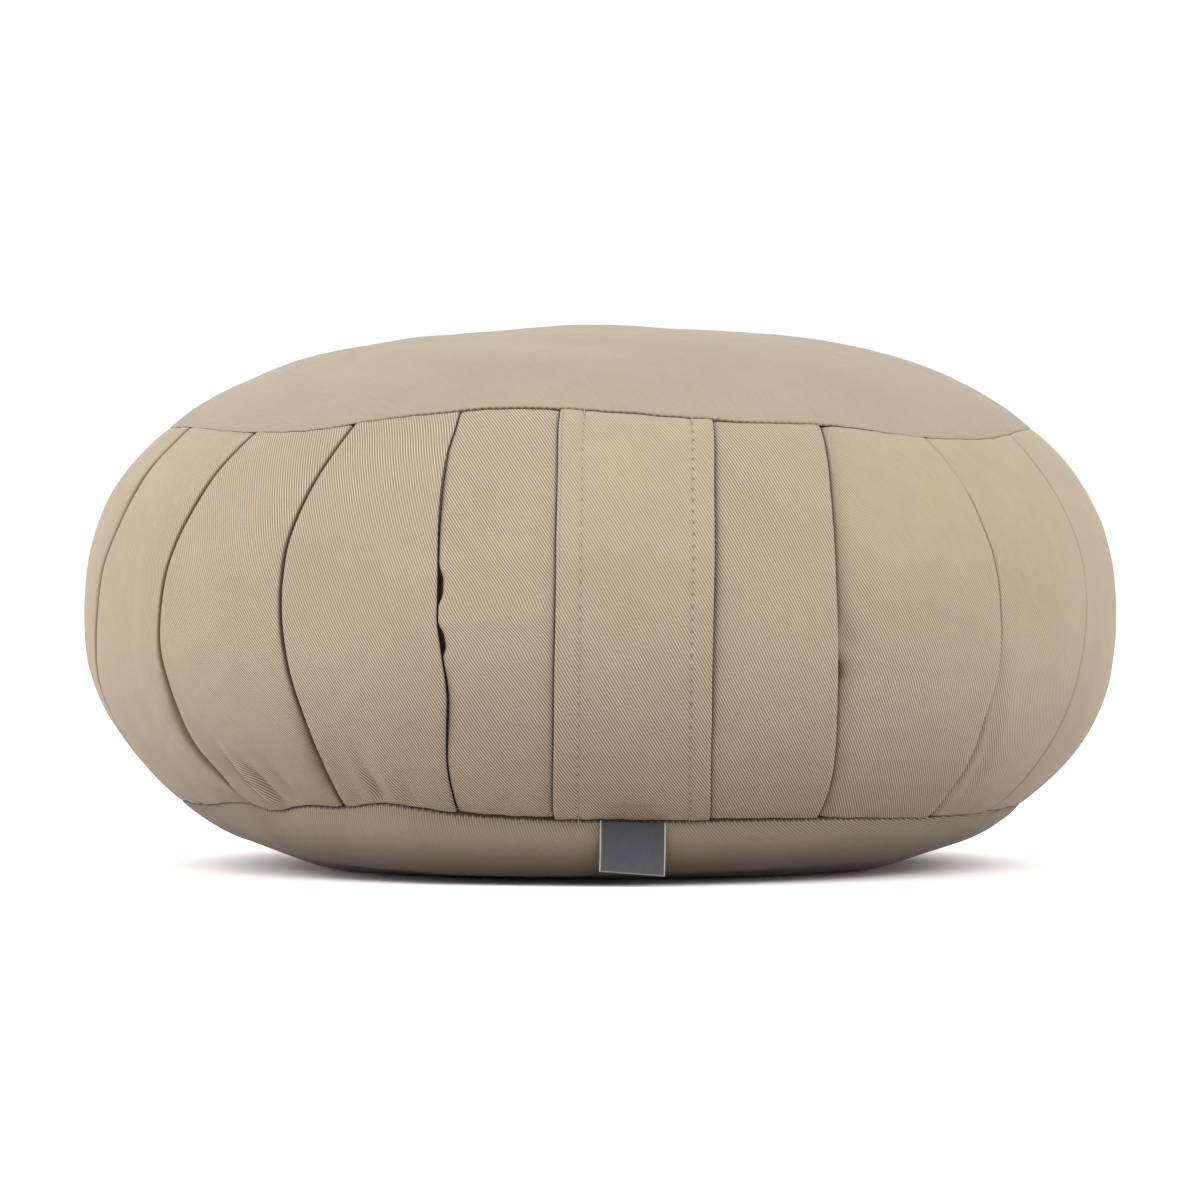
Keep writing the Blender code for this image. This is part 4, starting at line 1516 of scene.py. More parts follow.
# ------------------------------------------------------------------------------- opening strip
@dataclass
class OpeningStrip:
    """Straight upright strip over the filling's opening, hemmed down both sides."""

    band: PleatedBand
    thickness: float = 1.2 * MM
    proud: float = 1.0 * MM
    left_stitch: float = 7.3 * MM      # distance of the hem stitching from the left edge
    right_stitch: float = 6.4 * MM
    left_shown: float = 0.45           # how dark the left row's pricks are, beside the right's
    prick_reach: float = 0.30 * MM
    stitch_sink: float = 0.26 * MM
    stitch_reach: float = 0.55 * MM
    stitch_end: float = 1.6 * MM       # the rows stop this far from a seam
    hem_proud: float = 0.18 * MM       # how much thicker the strip is outside its stitching
    end_sink: float = 0.95             # how far its ends are drawn down level with the band
    end_reach: float = 1.2 * MM
    edge_stitch: float = 1.05 * MM     # fine row of edge stitching down the left side
    edge_sink: float = 0.30 * MM
    edge_reach: float = 0.16 * MM
    edge_fade: tuple[float, float, float] = (0.04, 0.13, 0.15)  # height it rises from and to, least
    middle_margin: float = 2.0 * MM    # even columns begin this far inside the stitching
    back_step: int = 6                 # the back takes every so many of the face's columns
    label_angle: float = 4.1           # over the label the cloth is drawn in and given a painted shadow
    label_half: float = 10.5 * MM
    label_reach: float = 3.2 * MM
    label_painted_shade: float = 0.92
    middle_columns: int = 40
    worn_up: Knots = ((0.03, 0.0), (0.05, 0.1), (0.08, 0.3), (0.115, 0.58), (0.14, 0.62))
    stitch_pitch: float = 3.6 * MM
    stitch_share: float = 0.82         # of the pitch that a stitch takes up
    stitch_sway: float = 4.0           # degrees that stitches stray from their row
    thread: float = 0.28 * MM
    thread_proud: float = 0.05         # of its thickness

    # rounded edge: inset and height below the strip's face, in mm
    edge_profile: Knots = (
        (0.50, 1.2), (0.16, 1.12), (0.0, 0.72), (0.05, 0.38), (0.2, 0.14), (0.45, 0.03),
    )
    fine_columns: tuple[float, ...] = (0.7, 0.88, 1.05, 1.22, 1.45, 2.4, 3.7, 5.0)
    edge_columns: int = 3              # so many of them are only for the left side's edge stitching
    stitch_columns: tuple[float, ...] = (-0.9, -0.45, -0.2, 0.0, 0.2, 0.45, 0.9)

    def lines(self) -> tuple[FoldLine, FoldLine]:
        """The lines of its two edges."""
        left, right = (line for line in self.band.lines if line.name.startswith("strip"))
        return left, right

    def face_depth(self, from_left: Array, from_right: Array, heights: Array) -> Array:
        """Sink the sewn rows into the strip's face.

        Args:
            from_left: Distances from its left edge.
            from_right: Distances from its right edge.
            heights: Heights above the floor.

        Returns:
            Depths.
        """
        depth = np.full(from_left.shape, -self.proud)
        for away, row in ((from_left, self.left_stitch), (from_right, self.right_stitch)):
            depth = depth - self.hem_proud * (away < row)
            depth = depth + self.stitch_sink * np.exp(-(((away - row) / self.stitch_reach) ** 2))
        low, high, least = self.edge_fade
        fade = np.clip((heights - low) / (high - low), least, 1)
        fine = np.exp(-(((from_left - self.edge_stitch) / self.edge_reach) ** 2))
        return depth + self.edge_sink * fine * fade

    def build(self, material: Material) -> Object:
        """Make the strip's cloth.

        Args:
            material: Twill of the strip.

        Returns:
            The object.
        """
        band, out = self.band, self.band.outline
        left, right = self.lines()
        shares, distance = band.rows()
        away = np.minimum(distance, distance[-1] - distance)[:, None]
        start, finish = band.line_angles(left, shares), band.line_angles(right, shares)
        radius = out.radius_at(band.travels(start, shares))[:, None]
        width = np.radians(finish - start)[:, None] * radius
        across, down = self.columns(width)
        angles = start[:, None] + np.degrees(across / radius)
        travels = band.travels(angles, shares)
        heights = out.height_at(travels)
        roll, line = band.turned_in(angles, distance)
        drawn = self.proud * self.end_sink * np.exp(-away / self.end_reach)
        drawn = drawn + roll + band.relief.at(angles, travels, left.name)
        face = self.face_depth(across, width - across, heights) + drawn + down
        last = across.shape[1] - 1
        back = np.unique(np.append(np.arange(0, last, self.back_step), last))
        behind = (self.thickness - self.proud + drawn)[:, back]
        behind[:, [0, -1]] = face[:, [0, -1]]
        places = np.stack([across - width / 2, travels - travels.mean()], axis=-1)
        left_row, right_row = (
            np.exp(-(((from_edge - row) / self.prick_reach) ** 2))
            for from_edge, row in ((across, self.left_stitch), (width - across, self.right_stitch))
        )
        # painted shadow on the cloth just over the label
        beside_label = np.radians(angles - self.label_angle) * radius / self.label_half
        painted_shading = self.label_painted_shade * np.exp(-(beside_label**6) - distance[:, None] / self.label_reach)
        mesh = ClothMesh()
        mesh.add_grid(
            out.place(angles, travels, face), places, along=np.radians(angles) * out.radius,
            fold=np.maximum(inside_fold(down, roll), painted_shading), seam=line,
            stitch=self.left_shown * left_row + right_row, worn=smooth_curve(self.worn_up, heights),
        )
        inner = out.place(angles[:, back], travels[:, back], behind)
        mesh.add_grid(inner, places[:, back], flip=True)
        piece = mesh.build("strip_cloth", [material])
        self._close_ends(piece)
        return piece

    def columns(self, width: Array) -> tuple[Array, Array]:
        """Columns across the strip, close together where it is rounded or sewn.

        Args:
            width: Width of the strip in each row, as one column.

        Returns:
            Distance of each column from the left edge and its rounding below the face.
        """
        inset, below = np.array(self.edge_profile).T[:, None] * MM
        fine = np.array(self.fine_columns)[None, :] * MM
        sewn = np.array(self.stitch_columns)[None, :] * MM
        first = self.left_stitch + self.middle_margin
        last = width - self.right_stitch - self.middle_margin
        share = np.linspace(0, 1, self.middle_columns)[None, :]
        plain = fine[:, self.edge_columns:]
        tall = np.zeros_like(width)
        across = np.hstack([
            tall + inset, tall + fine, tall + self.left_stitch + sewn, first + (last - first) * share,
            width - self.right_stitch + sewn, width - plain[:, ::-1], width - inset[:, ::-1],
        ])
        down = np.zeros_like(across)
        edge = inset.size
        down[:, :edge], down[:, -edge:] = below, below[:, ::-1]
        return across, down

    @staticmethod
    def _close_ends(piece: Object) -> None:
        """Fill the strip's two cut ends, which the seams hide.

        Args:
            piece: The strip.
        """
        mesh = bmesh.new()
        mesh.from_mesh(piece.data)
        open_edges = [edge for edge in mesh.edges if edge.is_boundary]
        bmesh.ops.holes_fill(mesh, edges=open_edges, sides=0)
        bmesh.ops.recalc_face_normals(mesh, faces=mesh.faces)
        mesh.to_mesh(piece.data)
        mesh.free()

    def stitch_paths(self) -> Object:
        """Trace both rows of hem stitching.

        Returns:
            An object of loose edges, a little sunk into the cloth.
        """
        band, out = self.band, self.band.outline
        left, right = self.lines()
        shares, distance = band.rows()
        keep = np.minimum(distance, distance[-1] - distance) > self.stitch_end
        points, edges = [], []
        for line, inset in ((left, self.left_stitch), (right, -self.right_stitch)):
            angles = band.line_angles(line, shares)
            angles = angles + np.degrees(inset / out.radius_at(band.travels(angles, shares)))
            travel = band.travels(angles, shares)
            depth = self.stitch_sink - self.proud - self.thread_proud * self.thread
            depth = depth + band.relief.at(angles, travel, left.name)
            first = len(points)
            points.extend(out.place(angles, travel, depth)[keep].tolist())
            edges.extend((number, number + 1) for number in range(first, len(points) - 1))
        data = bpy.data.meshes.new("hem_paths")
        data.from_pydata(points, edges, [])
        return in_scene("hem_paths", data)

    def build_stitches(self, material: Material) -> Object:
        """Make the hem stitching: one short rounded thread for each stitch.

        Args:
            material: Sewing thread.

        Returns:
            The object.
        """
        settings = {
            "Stitch pitch": self.stitch_pitch, "Stitch length": self.stitch_share * self.stitch_pitch,
            "Thread": self.thread, "Unevenness": self.stitch_sway, "Seed": 7,
        }
        return bake_nodes(self.stitch_paths(), stitch_tree(material), settings, "strip_topstitch")


def stitch_tree(material: Material) -> Tree:
    """Geometry nodes that sew a row of stitches along each line of edges.

    Args:
        material: Sewing thread.

    Returns:
        The node tree, with its sizes as named inputs.
    """
    tree = bpy.data.node_groups.new("stitch_row", "GeometryNodeTree")
    for name, kind, way in (
        ("Geometry", "Geometry", "INPUT"), ("Stitch pitch", "Float", "INPUT"),
        ("Stitch length", "Float", "INPUT"), ("Thread", "Float", "INPUT"),
        ("Unevenness", "Float", "INPUT"), ("Seed", "Int", "INPUT"), ("Geometry", "Geometry", "OUTPUT"),
    ):
        tree.interface.new_socket(name, in_out=way, socket_type=f"NodeSocket{kind}")
    node = partial(add_node, tree)
    start = node("NodeGroupInput").node.outputs
    path = node("GeometryNodeMeshToCurve", {"Mesh": start["Geometry"]})
    row = node("GeometryNodeResampleCurve", {
        "Curve": path, "Length": start["Stitch pitch"],
    }, mode="LENGTH")
    tangent = node("GeometryNodeInputTangent")
    turn = node("FunctionNodeAlignRotationToVector", {"Vector": tangent}, axis="Z")
    most = node("ShaderNodeMath", {0: start["Unevenness"]}, operation="RADIANS")
    least = node("ShaderNodeMath", {0: most, 1: -1.0}, operation="MULTIPLY")
    sway = node("FunctionNodeRandomValue", {
        "Min": least, "Max": most, "Seed": start["Seed"],
    }, data_type="FLOAT_VECTOR")
    spun = node("FunctionNodeRotateRotation", {
        "Rotation": turn, "Rotate By": sway,
    }, rotation_space="LOCAL")
    ball = node("GeometryNodeMeshUVSphere", {"Segments": 8, "Rings": 8, "Radius": 0.5})
    size = node("ShaderNodeCombineXYZ", {
        "X": start["Thread"], "Y": start["Thread"], "Z": start["Stitch length"],
    })
    stitches = node("GeometryNodeInstanceOnPoints", {
        "Points": row, "Instance": ball, "Rotation": spun, "Scale": size,
    })
    solid = node("GeometryNodeRealizeInstances", {"Geometry": stitches})
    smooth = node("GeometryNodeSetShadeSmooth", {"Geometry": solid})
    dressed = node("GeometryNodeSetMaterial", {"Geometry": smooth, "Material": material})
    node("NodeGroupOutput", {"Geometry": dressed})
    return tree


def bake_nodes(source: Object, tree: Tree, settings: dict[str, float | int], name: str) -> Object:
    """Run geometry nodes on an object and keep the result as a plain mesh.

    Args:
        source: Object the nodes start from; it is removed afterwards.
        tree: The node tree.
        settings: Value of each named input.
        name: Name of the new piece.

    Returns:
        The new object.
    """
    modifier = source.modifiers.new("nodes", "NODES")
    modifier.node_group = tree
    for item in tree.interface.items_tree:
        if item.item_type == "SOCKET" and item.in_out == "INPUT" and item.name in settings:
            modifier[item.identifier] = settings[item.name]
    graph = bpy.context.evaluated_depsgraph_get()
    data = bpy.data.meshes.new_from_object(source.evaluated_get(graph), depsgraph=graph)
    data.name = name
    bpy.data.objects.remove(source)
    return in_scene(name, data)


# ------------------------------------------------------------------------------------ the label
@dataclass
class SeamLabel:
    """Small woven label, folded at its lower end and caught in the bottom seam."""

    width: float = 0.020
    centre_x: float = 0.0099
    ply: float = 0.42 * MM
    between: float = 0.10 * MM
    proud: float = 0.5 * MM           # how far its middle stands off the curve below
    wave: float = 0.10 * MM           # how far it waves across towards its lower end
    wave_turns: tuple[float, float] = (5.0, 0.8)  # radians across the label, and at its middle
    top_tilt: float = 2.2
    end_tilt: float = 2.1             # added towards the lower end
    top: tuple[float, float] = (0.1381, 0.0197)
    belly: tuple[float, float] = (0.1390, 0.0130)
    end: tuple[float, float] = (0.1352, 0.0044)
    rows: int = 40
    columns: int = 44

    def build(self, material: Material) -> Object:
        """Make the label as one folded ribbon.

        Args:
            material: Woven ribbon.

        Returns:
            The object.
        """
        turn = np.arcsin(self.centre_x / self.top[0])
        across = np.array([np.cos(turn), np.sin(turn), 0.0])
        outward = np.array([np.sin(turn), -np.cos(turn), 0.0])
        loop = self._side_view()
        travel = np.concatenate([[0], np.cumsum(np.linalg.norm(np.diff(loop, axis=0), axis=1))])
        x = np.linspace(-0.5, 0.5, self.columns)[None, :] * self.width
        points = (
            loop[:, 0][:, None, None] * outward + x[..., None] * across
            + loop[:, 1][:, None, None] * np.array([0.0, 0.0, 1.0])
        )
        drop = (self.top[1] - loop[:, 1])[:, None] / (self.top[1] - self.end[1])
        tilt = np.radians(self.top_tilt + self.end_tilt * drop)
        points[..., 2] -= x * np.tan(tilt)
        turns, middle_turn = self.wave_turns
        wave = self.wave * np.sin(x / self.width * turns + middle_turn) * drop
        points = points + wave[..., None] * outward
        places = np.stack(np.broadcast_arrays(x, travel[:, None]), axis=-1)
        mesh = ClothMesh()
        mesh.add_grid(points, places, flip=True)
        piece = mesh.build("label_ribbon", [material])
        thick = piece.modifiers.new("ply", "SOLIDIFY")
        thick.thickness = self.ply
        thick.offset = 0.0
        thick.use_even_offset = True
        return piece

    def _side_view(self) -> Array:
        """Trace the folded ribbon from the side.

        Returns:
            Distance out and height of each point of its middle line.
        """
        share = np.linspace(0, 1, self.rows)
        rest = 1 - share
        front = np.stack([
            rest**2 * top + 2 * share * rest * belly + share**2 * end
            for top, belly, end in zip(self.top, self.belly, self.end)
        ], axis=-1)
        step = (self.ply + self.between) / 2
        slope = np.gradient(front, axis=0)
        slope /= np.linalg.norm(slope, axis=1)[:, None]
        normal = np.stack([-slope[:, 1], slope[:, 0]], axis=-1)
        middle = front + normal * self.proud
        outer, inner = middle + normal * step, middle - normal * step
        turn = np.linspace(0, np.pi, 9)[1:-1, None]
        bend = middle[-1] + (normal[-1] * np.cos(turn) + slope[-1] * np.sin(turn)) * step
        return np.concatenate([outer, bend, inner[::-1]])


# ------------------------------------------------------------------------------------- finishes
@dataclass(frozen=True)
class Finish:
    """Finish of one material; each kind of cloth, thread or paper adds its own surface."""

    name: str

    def make(self) -> Material:
        """Build the material.

        Returns:
            The material.
        """
        material = bpy.data.materials.new(self.name)
        material.use_nodes = True
        tree = material.node_tree
        tree.nodes.clear()
        shader = add_node(tree, "ShaderNodeBsdfPrincipled", self.surface(tree))
        add_node(tree, "ShaderNodeOutputMaterial", {"Surface": shader})
        return material

    def surface(self, tree: Tree) -> dict[str | int, Any]:
        """Add the nodes of the surface.

        Args:
            tree: Node tree of the material.

        Returns:
            Inputs of the shader.
        """
        raise NotImplementedError

    @staticmethod
    def bands(
        tree: Tree, place: Socket, pitch_mm: float, axis: str, distortion: float = 0.0,
        detail_mm: float = 1.0,
    ) -> Socket:
        """Even rounded bands across one coordinate.

        Args:
            tree: Node tree that gets them.
            place: Coordinates in metres.
            pitch_mm: Distance from band to band.
            axis: Coordinate that they lie across.
            distortion: How unsteady they are.
            detail_mm: Size of that unsteadiness.

        Returns:
            Height of the bands, from nought to one.
        """
        scale = WAVE_TURN / (pitch_mm * MM)
        return add_node(tree, "ShaderNodeTexWave", {
            "Vector": place, "Scale": scale, "Distortion": distortion, "Detail": 1.0,
            "Detail Scale": 1 / (detail_mm * MM) / scale, "Detail Roughness": 0.5,
        }, out="Fac", bands_direction=axis)


@dataclass(frozen=True)
class CottonTwill(Finish):
    """Cotton twill, three over one, 42 ends and 22 picks a centimetre, piece dyed.

    The long floats line up into raised diagonal ribs 0.8 mm apart that lean at 60 degrees; the
    valleys between them are darker. Napped cotton scatters a pale bloom at grazing angles.
    """

    crest: str = "#857866"        # top of a rib
    valley: str = "#4F4539"       # between ribs
    contrast: float = 1.4         # of the ribs, before wear presses them flat
    rib_pitch_mm: float = 0.80
    rib_lean: float = 60.0        # degrees from the weft
    float_pitch_mm: float = 0.47  # every second float along a rib; single ones are too fine to show
    float_depth: float = 0.12     # of the floats, as a share of the rib's height
    rib_relief_mm: float = 0.20
    nap_relief_mm: float = 0.05
    slub_mm: tuple[float, float] = (0.9, 9.0)  # thick places in the yarn: across and along a rib
    cloud_mm: float = 28.0        # uneven dye
    nap_mm: float = 0.45          # brushed fibre
    pucker_pitch_mm: float = 2.7  # painted dark puckers along a seam that is drawn tight
    pucker_gap: float = 0.55      # how far the line of a seam is broken between them
    line_gain: float = 1.8        # how full that line is where the seam gapes
    stitch_pitch_mm: float = 3.6  # needle pricks down a topstitched row
    prick_shade: float = 0.5      # how dark they are
    sheen: float = 0.05
    deep: str = "#41301A"         # painted shade colour deep in a fold, brown as where light has bounced off cloth many times
    seam_depth: float = 0.95      # how much of that painted shade colour the line of a seam takes

    def surface(self, tree: Tree) -> dict[str | int, Any]:
        """Ribs between two colours, pressed flat by wear, with painted shade in folds, seams and
        pricks.

        Args:
            tree: Node tree of the material.

        Returns:
            Inputs of the shader.
        """
        node = partial(add_node, tree)
        place = node("ShaderNodeUVMap", uv_map=UV_NAME)
        lean = node("ShaderNodeMapping", {
            "Vector": place, "Rotation": (0.0, 0.0, -np.radians(90 - self.rib_lean)),
        })
        ribs = self.bands(tree, lean, self.rib_pitch_mm, "X", distortion=0.5, detail_mm=4.0)
        floats = self.bands(tree, place, self.float_pitch_mm, "X", distortion=0.3, detail_mm=3.0)
        across, along = self.slub_mm
        yarn = node("ShaderNodeMapping", {
            "Vector": lean, "Scale": (1 / (across * MM), 1 / (along * MM), 1.0),
        })
        body = node("ShaderNodeTexCoord", out="Object")
        slub, cloud, nap = (
            node("ShaderNodeTexNoise", {
                "Vector": vector, "Scale": scale, "Detail": detail, "Roughness": roughness,
            })
            for vector, scale, detail, roughness in (
                (yarn, 1.0, 2.0, 0.6), (body, 1 / (self.cloud_mm * MM), 3.0, 0.55),
                (place, 1 / (self.nap_mm * MM), 2.0, 0.7),
            )
        )
        rope = node("ShaderNodeMath", {
            0: floats, 1: self.float_depth, 2: 1 - self.float_depth,
        }, operation="MULTIPLY_ADD")
        height = node("ShaderNodeMath", {0: ribs, 1: rope}, operation="MULTIPLY")
        worn = node("ShaderNodeAttribute", out="Fac", attribute_name=WORN_NAME)
        shown = node("ShaderNodeMapRange", {0: worn, 1: 0.0, 2: 1.0, 3: self.contrast, 4: 0.0})
        swing = node("ShaderNodeMath", {0: height, 1: 0.5}, operation="SUBTRACT")
        seen = node("ShaderNodeMath", {0: swing, 1: shown, 2: 0.5}, operation="MULTIPLY_ADD")
        tint = node("ShaderNodeMix", {
            0: seen, 6: to_linear(self.valley), 7: to_linear(self.crest),
        }, out=2, data_type="RGBA")
        for noise, amount in ((slub, 0.05), (cloud, 0.05), (nap, 0.03)):
            factor = node("ShaderNodeMapRange", {
                0: noise, 1: 0.25, 2: 0.75, 3: 1 - amount, 4: 1 + amount,
            })
            tint = node("ShaderNodeVectorMath", {0: tint, 3: factor}, operation="SCALE")
        sunk, left = self._shade(tree, place)
        tint = node("ShaderNodeVectorMath", {0: tint, 3: left}, operation="SCALE")
        # painted shade: wherever the fold attribute is set, the colour goes over to the deep one
        tint = node("ShaderNodeMix", {
            0: sunk, 6: tint, 7: to_linear(self.deep),
        }, out=2, data_type="RGBA")
        ribbed = node("ShaderNodeBump", {
            "Strength": shown, "Distance": self.rib_relief_mm * MM, "Height": height,
        })
        rough = node("ShaderNodeBump", {
            "Strength": 0.25, "Distance": self.nap_relief_mm * MM, "Height": nap, "Normal": ribbed,
        })
        return {
            "Base Color": tint, "Roughness": 0.92, "Normal": rough, "IOR": 1.45,
            "Specular IOR Level": 0.25, "Sheen Weight": self.sheen, "Sheen Roughness": 0.45,
            "Sheen Tint": to_linear("#FFF6E8"),
        }

    def _shade(self, tree: Tree, place: Socket) -> tuple[Socket, Socket]:
        """Paint shade into folds, seam lines and needle pricks.

        Args:
            tree: Node tree of the material.
            place: UVs in metres.

        Returns:
            How much painted shade the cloth takes in folds and seams, and the share of the light left
            in needle pricks.
        """
        node = partial(add_node, tree)
        inside, along, line, row = (
            node("ShaderNodeAttribute", out="Fac", attribute_name=name)
            for name in (FOLD_NAME, ALONG_NAME, SEAM_NAME, STITCH_NAME)
        )
        pucker = self._swing(tree, along, self.pucker_pitch_mm)
        drawn = node("ShaderNodeMath", {0: pucker, 1: -self.pucker_gap}, operation="MULTIPLY")
        open_line = node("ShaderNodeMath", {
            0: line, 1: self.line_gain, 2: drawn,
        }, operation="MULTIPLY_ADD", use_clamp=True)
        sewn = node("ShaderNodeMath", {0: open_line, 1: self.seam_depth}, operation="MULTIPLY")
        sunk = node("ShaderNodeMath", {0: inside, 1: sewn}, operation="MAXIMUM")
        up = node("ShaderNodeSeparateXYZ", {0: place}, out=1)
        needle = self._swing(tree, up, self.stitch_pitch_mm)
        prick = node("ShaderNodeMapRange", {
            0: needle, 1: 0.75, 2: 0.95, 3: 0.0, 4: self.prick_shade,
        })
        pricked = node("ShaderNodeMath", {0: prick, 1: row}, operation="MULTIPLY")
        left = node("ShaderNodeMath", {0: 1.0, 1: pricked}, operation="SUBTRACT")
        return sunk, left

    @staticmethod
    def _swing(tree: Tree, distance: Socket, pitch_mm: float) -> Socket:
        """Swing evenly along a distance.

        Args:
            tree: Node tree of the material.
            distance: Distance in metres.
            pitch_mm: Length of one swing.

        Returns:
            Value between nought and one.
        """
        turns = add_node(tree, "ShaderNodeMath", {
            0: distance, 1: 2 * np.pi / (pitch_mm * MM),
        }, operation="MULTIPLY")
        swing = add_node(tree, "ShaderNodeMath", {0: turns}, operation="SINE")
        return add_node(tree, "ShaderNodeMath", {0: swing, 1: 0.5, 2: 0.5}, operation="MULTIPLY_ADD")


@dataclass(frozen=True)
class LabelWeave(Finish):
    """Polyester label ribbon, taffeta woven: fine crosswise ribs, a soft gloss, pale selvedges."""

    name: str = "label_weave"
    ground: str = "#1F2023"
    light: str = "#2D2E32"
    selvedge: str = "#8A8784"
    pick_pitch_mm: float = 0.30
    end_pitch_mm: float = 0.24
    weave_relief_mm: float = 0.05
    cloud_mm: float = 2.5
    half_width: float = 0.010
    selvedge_mm: tuple[float, float] = (0.468, 0.288)  # it fades in over this distance from the edge
    painted_shading_reach: float = 0.015   # from the seam to the folded end, over which painted shade gives way to painted light
    painted_shading: tuple[float, float] = (0.45, 1.95)  # painted tone at the seam and at the folded end
    folded_at: float = 0.0164     # distance of the folded end from the hidden one
    folded_mm: tuple[float, float] = (0.25, 0.5)  # the pale line there fades out over this distance
    folded_shown: float = 0.4

    def surface(self, tree: Tree) -> dict[str | int, Any]:
        """Plain weave between two greys, painted darker at the seam and lighter towards the folded end,
        with pale edges.

        Args:
            tree: Node tree of the material.

        Returns:
            Inputs of the shader.
        """
        node = partial(add_node, tree)
        place = node("ShaderNodeUVMap", uv_map=UV_NAME)
        apart = node("ShaderNodeSeparateXYZ", {0: place}).node.outputs
        picks = self.bands(tree, place, self.pick_pitch_mm, "Y")
        ends = self.bands(tree, place, self.end_pitch_mm, "X")
        weave = node("ShaderNodeMath", {0: picks, 1: ends}, operation="MULTIPLY")
        noise = node("ShaderNodeTexNoise", {
            "Vector": place, "Scale": 1 / (self.cloud_mm * MM), "Detail": 3.0,
        })
        tint = node("ShaderNodeMix", {
            0: weave, 6: to_linear(self.ground), 7: to_linear(self.light),
        }, out=2, data_type="RGBA")
        # random tone, then painted shade at the seam giving way to painted light at the folded end
        for value, low, high, least, most in (
            (noise, 0.3, 0.7, 0.88, 1.12), (apart[1], 0.0, self.painted_shading_reach, *self.painted_shading),
        ):
            tone = node("ShaderNodeMapRange", {0: value, 1: low, 2: high, 3: least, 4: most})
            tint = node("ShaderNodeVectorMath", {0: tint, 3: tone}, operation="SCALE")
        reach = node("ShaderNodeMath", {0: apart[0]}, operation="ABSOLUTE")
        low, high = (self.half_width - distance * MM for distance in self.selvedge_mm)
        edge = node("ShaderNodeMapRange", {0: reach, 1: low, 2: high, 3: 0.0, 4: 1.0})
        dotted = node("ShaderNodeMath", {0: picks, 1: 0.5, 2: 0.5}, operation="MULTIPLY_ADD")
        edge = node("ShaderNodeMath", {0: edge, 1: dotted}, operation="MULTIPLY")
        from_end = node("ShaderNodeMath", {0: apart[1], 1: self.folded_at}, operation="SUBTRACT")
        from_end = node("ShaderNodeMath", {0: from_end}, operation="ABSOLUTE")
        low, high = (distance * MM for distance in self.folded_mm)
        end = node("ShaderNodeMapRange", {
            0: from_end, 1: low, 2: high, 3: self.folded_shown, 4: 0.0,
        })
        edge = node("ShaderNodeMath", {0: edge, 1: end}, operation="MAXIMUM")
        tint = node("ShaderNodeMix", {
            0: edge, 6: tint, 7: to_linear(self.selvedge),
        }, out=2, data_type="RGBA")
        bump = node("ShaderNodeBump", {
            "Strength": 0.7, "Distance": self.weave_relief_mm * MM, "Height": weave,
        })
        return {
            "Base Color": tint, "Roughness": 0.55, "Normal": bump, "Specular IOR Level": 0.25,
            "Sheen Weight": 0.04, "IOR": 1.5,
        }


@dataclass(frozen=True)
class SewingThread(Finish):
    """Spun polyester sewing thread, a little glossier than the cotton round it."""

    name: str = "sewing_thread"
    colour: str = "#6F6455"
    ply_pitch_mm: float = 0.5
    ply_lean: float = 35.0        # degrees
    ply_relief_mm: float = 0.05

    def surface(self, tree: Tree) -> dict[str | int, Any]:
        """One colour, with the twist of the thread's plies as relief.

        Args:
            tree: Node tree of the material.

        Returns:
            Inputs of the shader.
        """
        place = add_node(tree, "ShaderNodeTexCoord", out="Object")
        lean = add_node(tree, "ShaderNodeMapping", {
            "Vector": place, "Rotation": (0.0, np.radians(self.ply_lean), 0.0),
        })
        twist = self.bands(tree, lean, self.ply_pitch_mm, "Z")
        bump = add_node(tree, "ShaderNodeBump", {
            "Strength": 0.6, "Distance": self.ply_relief_mm * MM, "Height": twist,
        })
        return {
            "Base Color": to_linear(self.colour), "Roughness": 0.6, "Normal": bump,
            "Sheen Weight": 0.15, "IOR": 1.5,
        }


@dataclass(frozen=True)
class StudioPaper(Finish):
    """Matt background paper, so pale that the light turns it white."""

    name: str = "studio_paper"
    colour: str = "#DCD5D7"

    def surface(self, tree: Tree) -> dict[str | int, Any]:
        """One plain colour."""
        return {"Base Color": to_linear(self.colour), "Roughness": 0.95, "Specular IOR Level": 0.1}


# --------------------------------------------------------------------------------------- studio
@dataclass(frozen=True)
class SoftLight:
    """Large square lamp that points at the cushion."""

    name: str
    place: tuple[float, float, float]
    size: float
    power: float


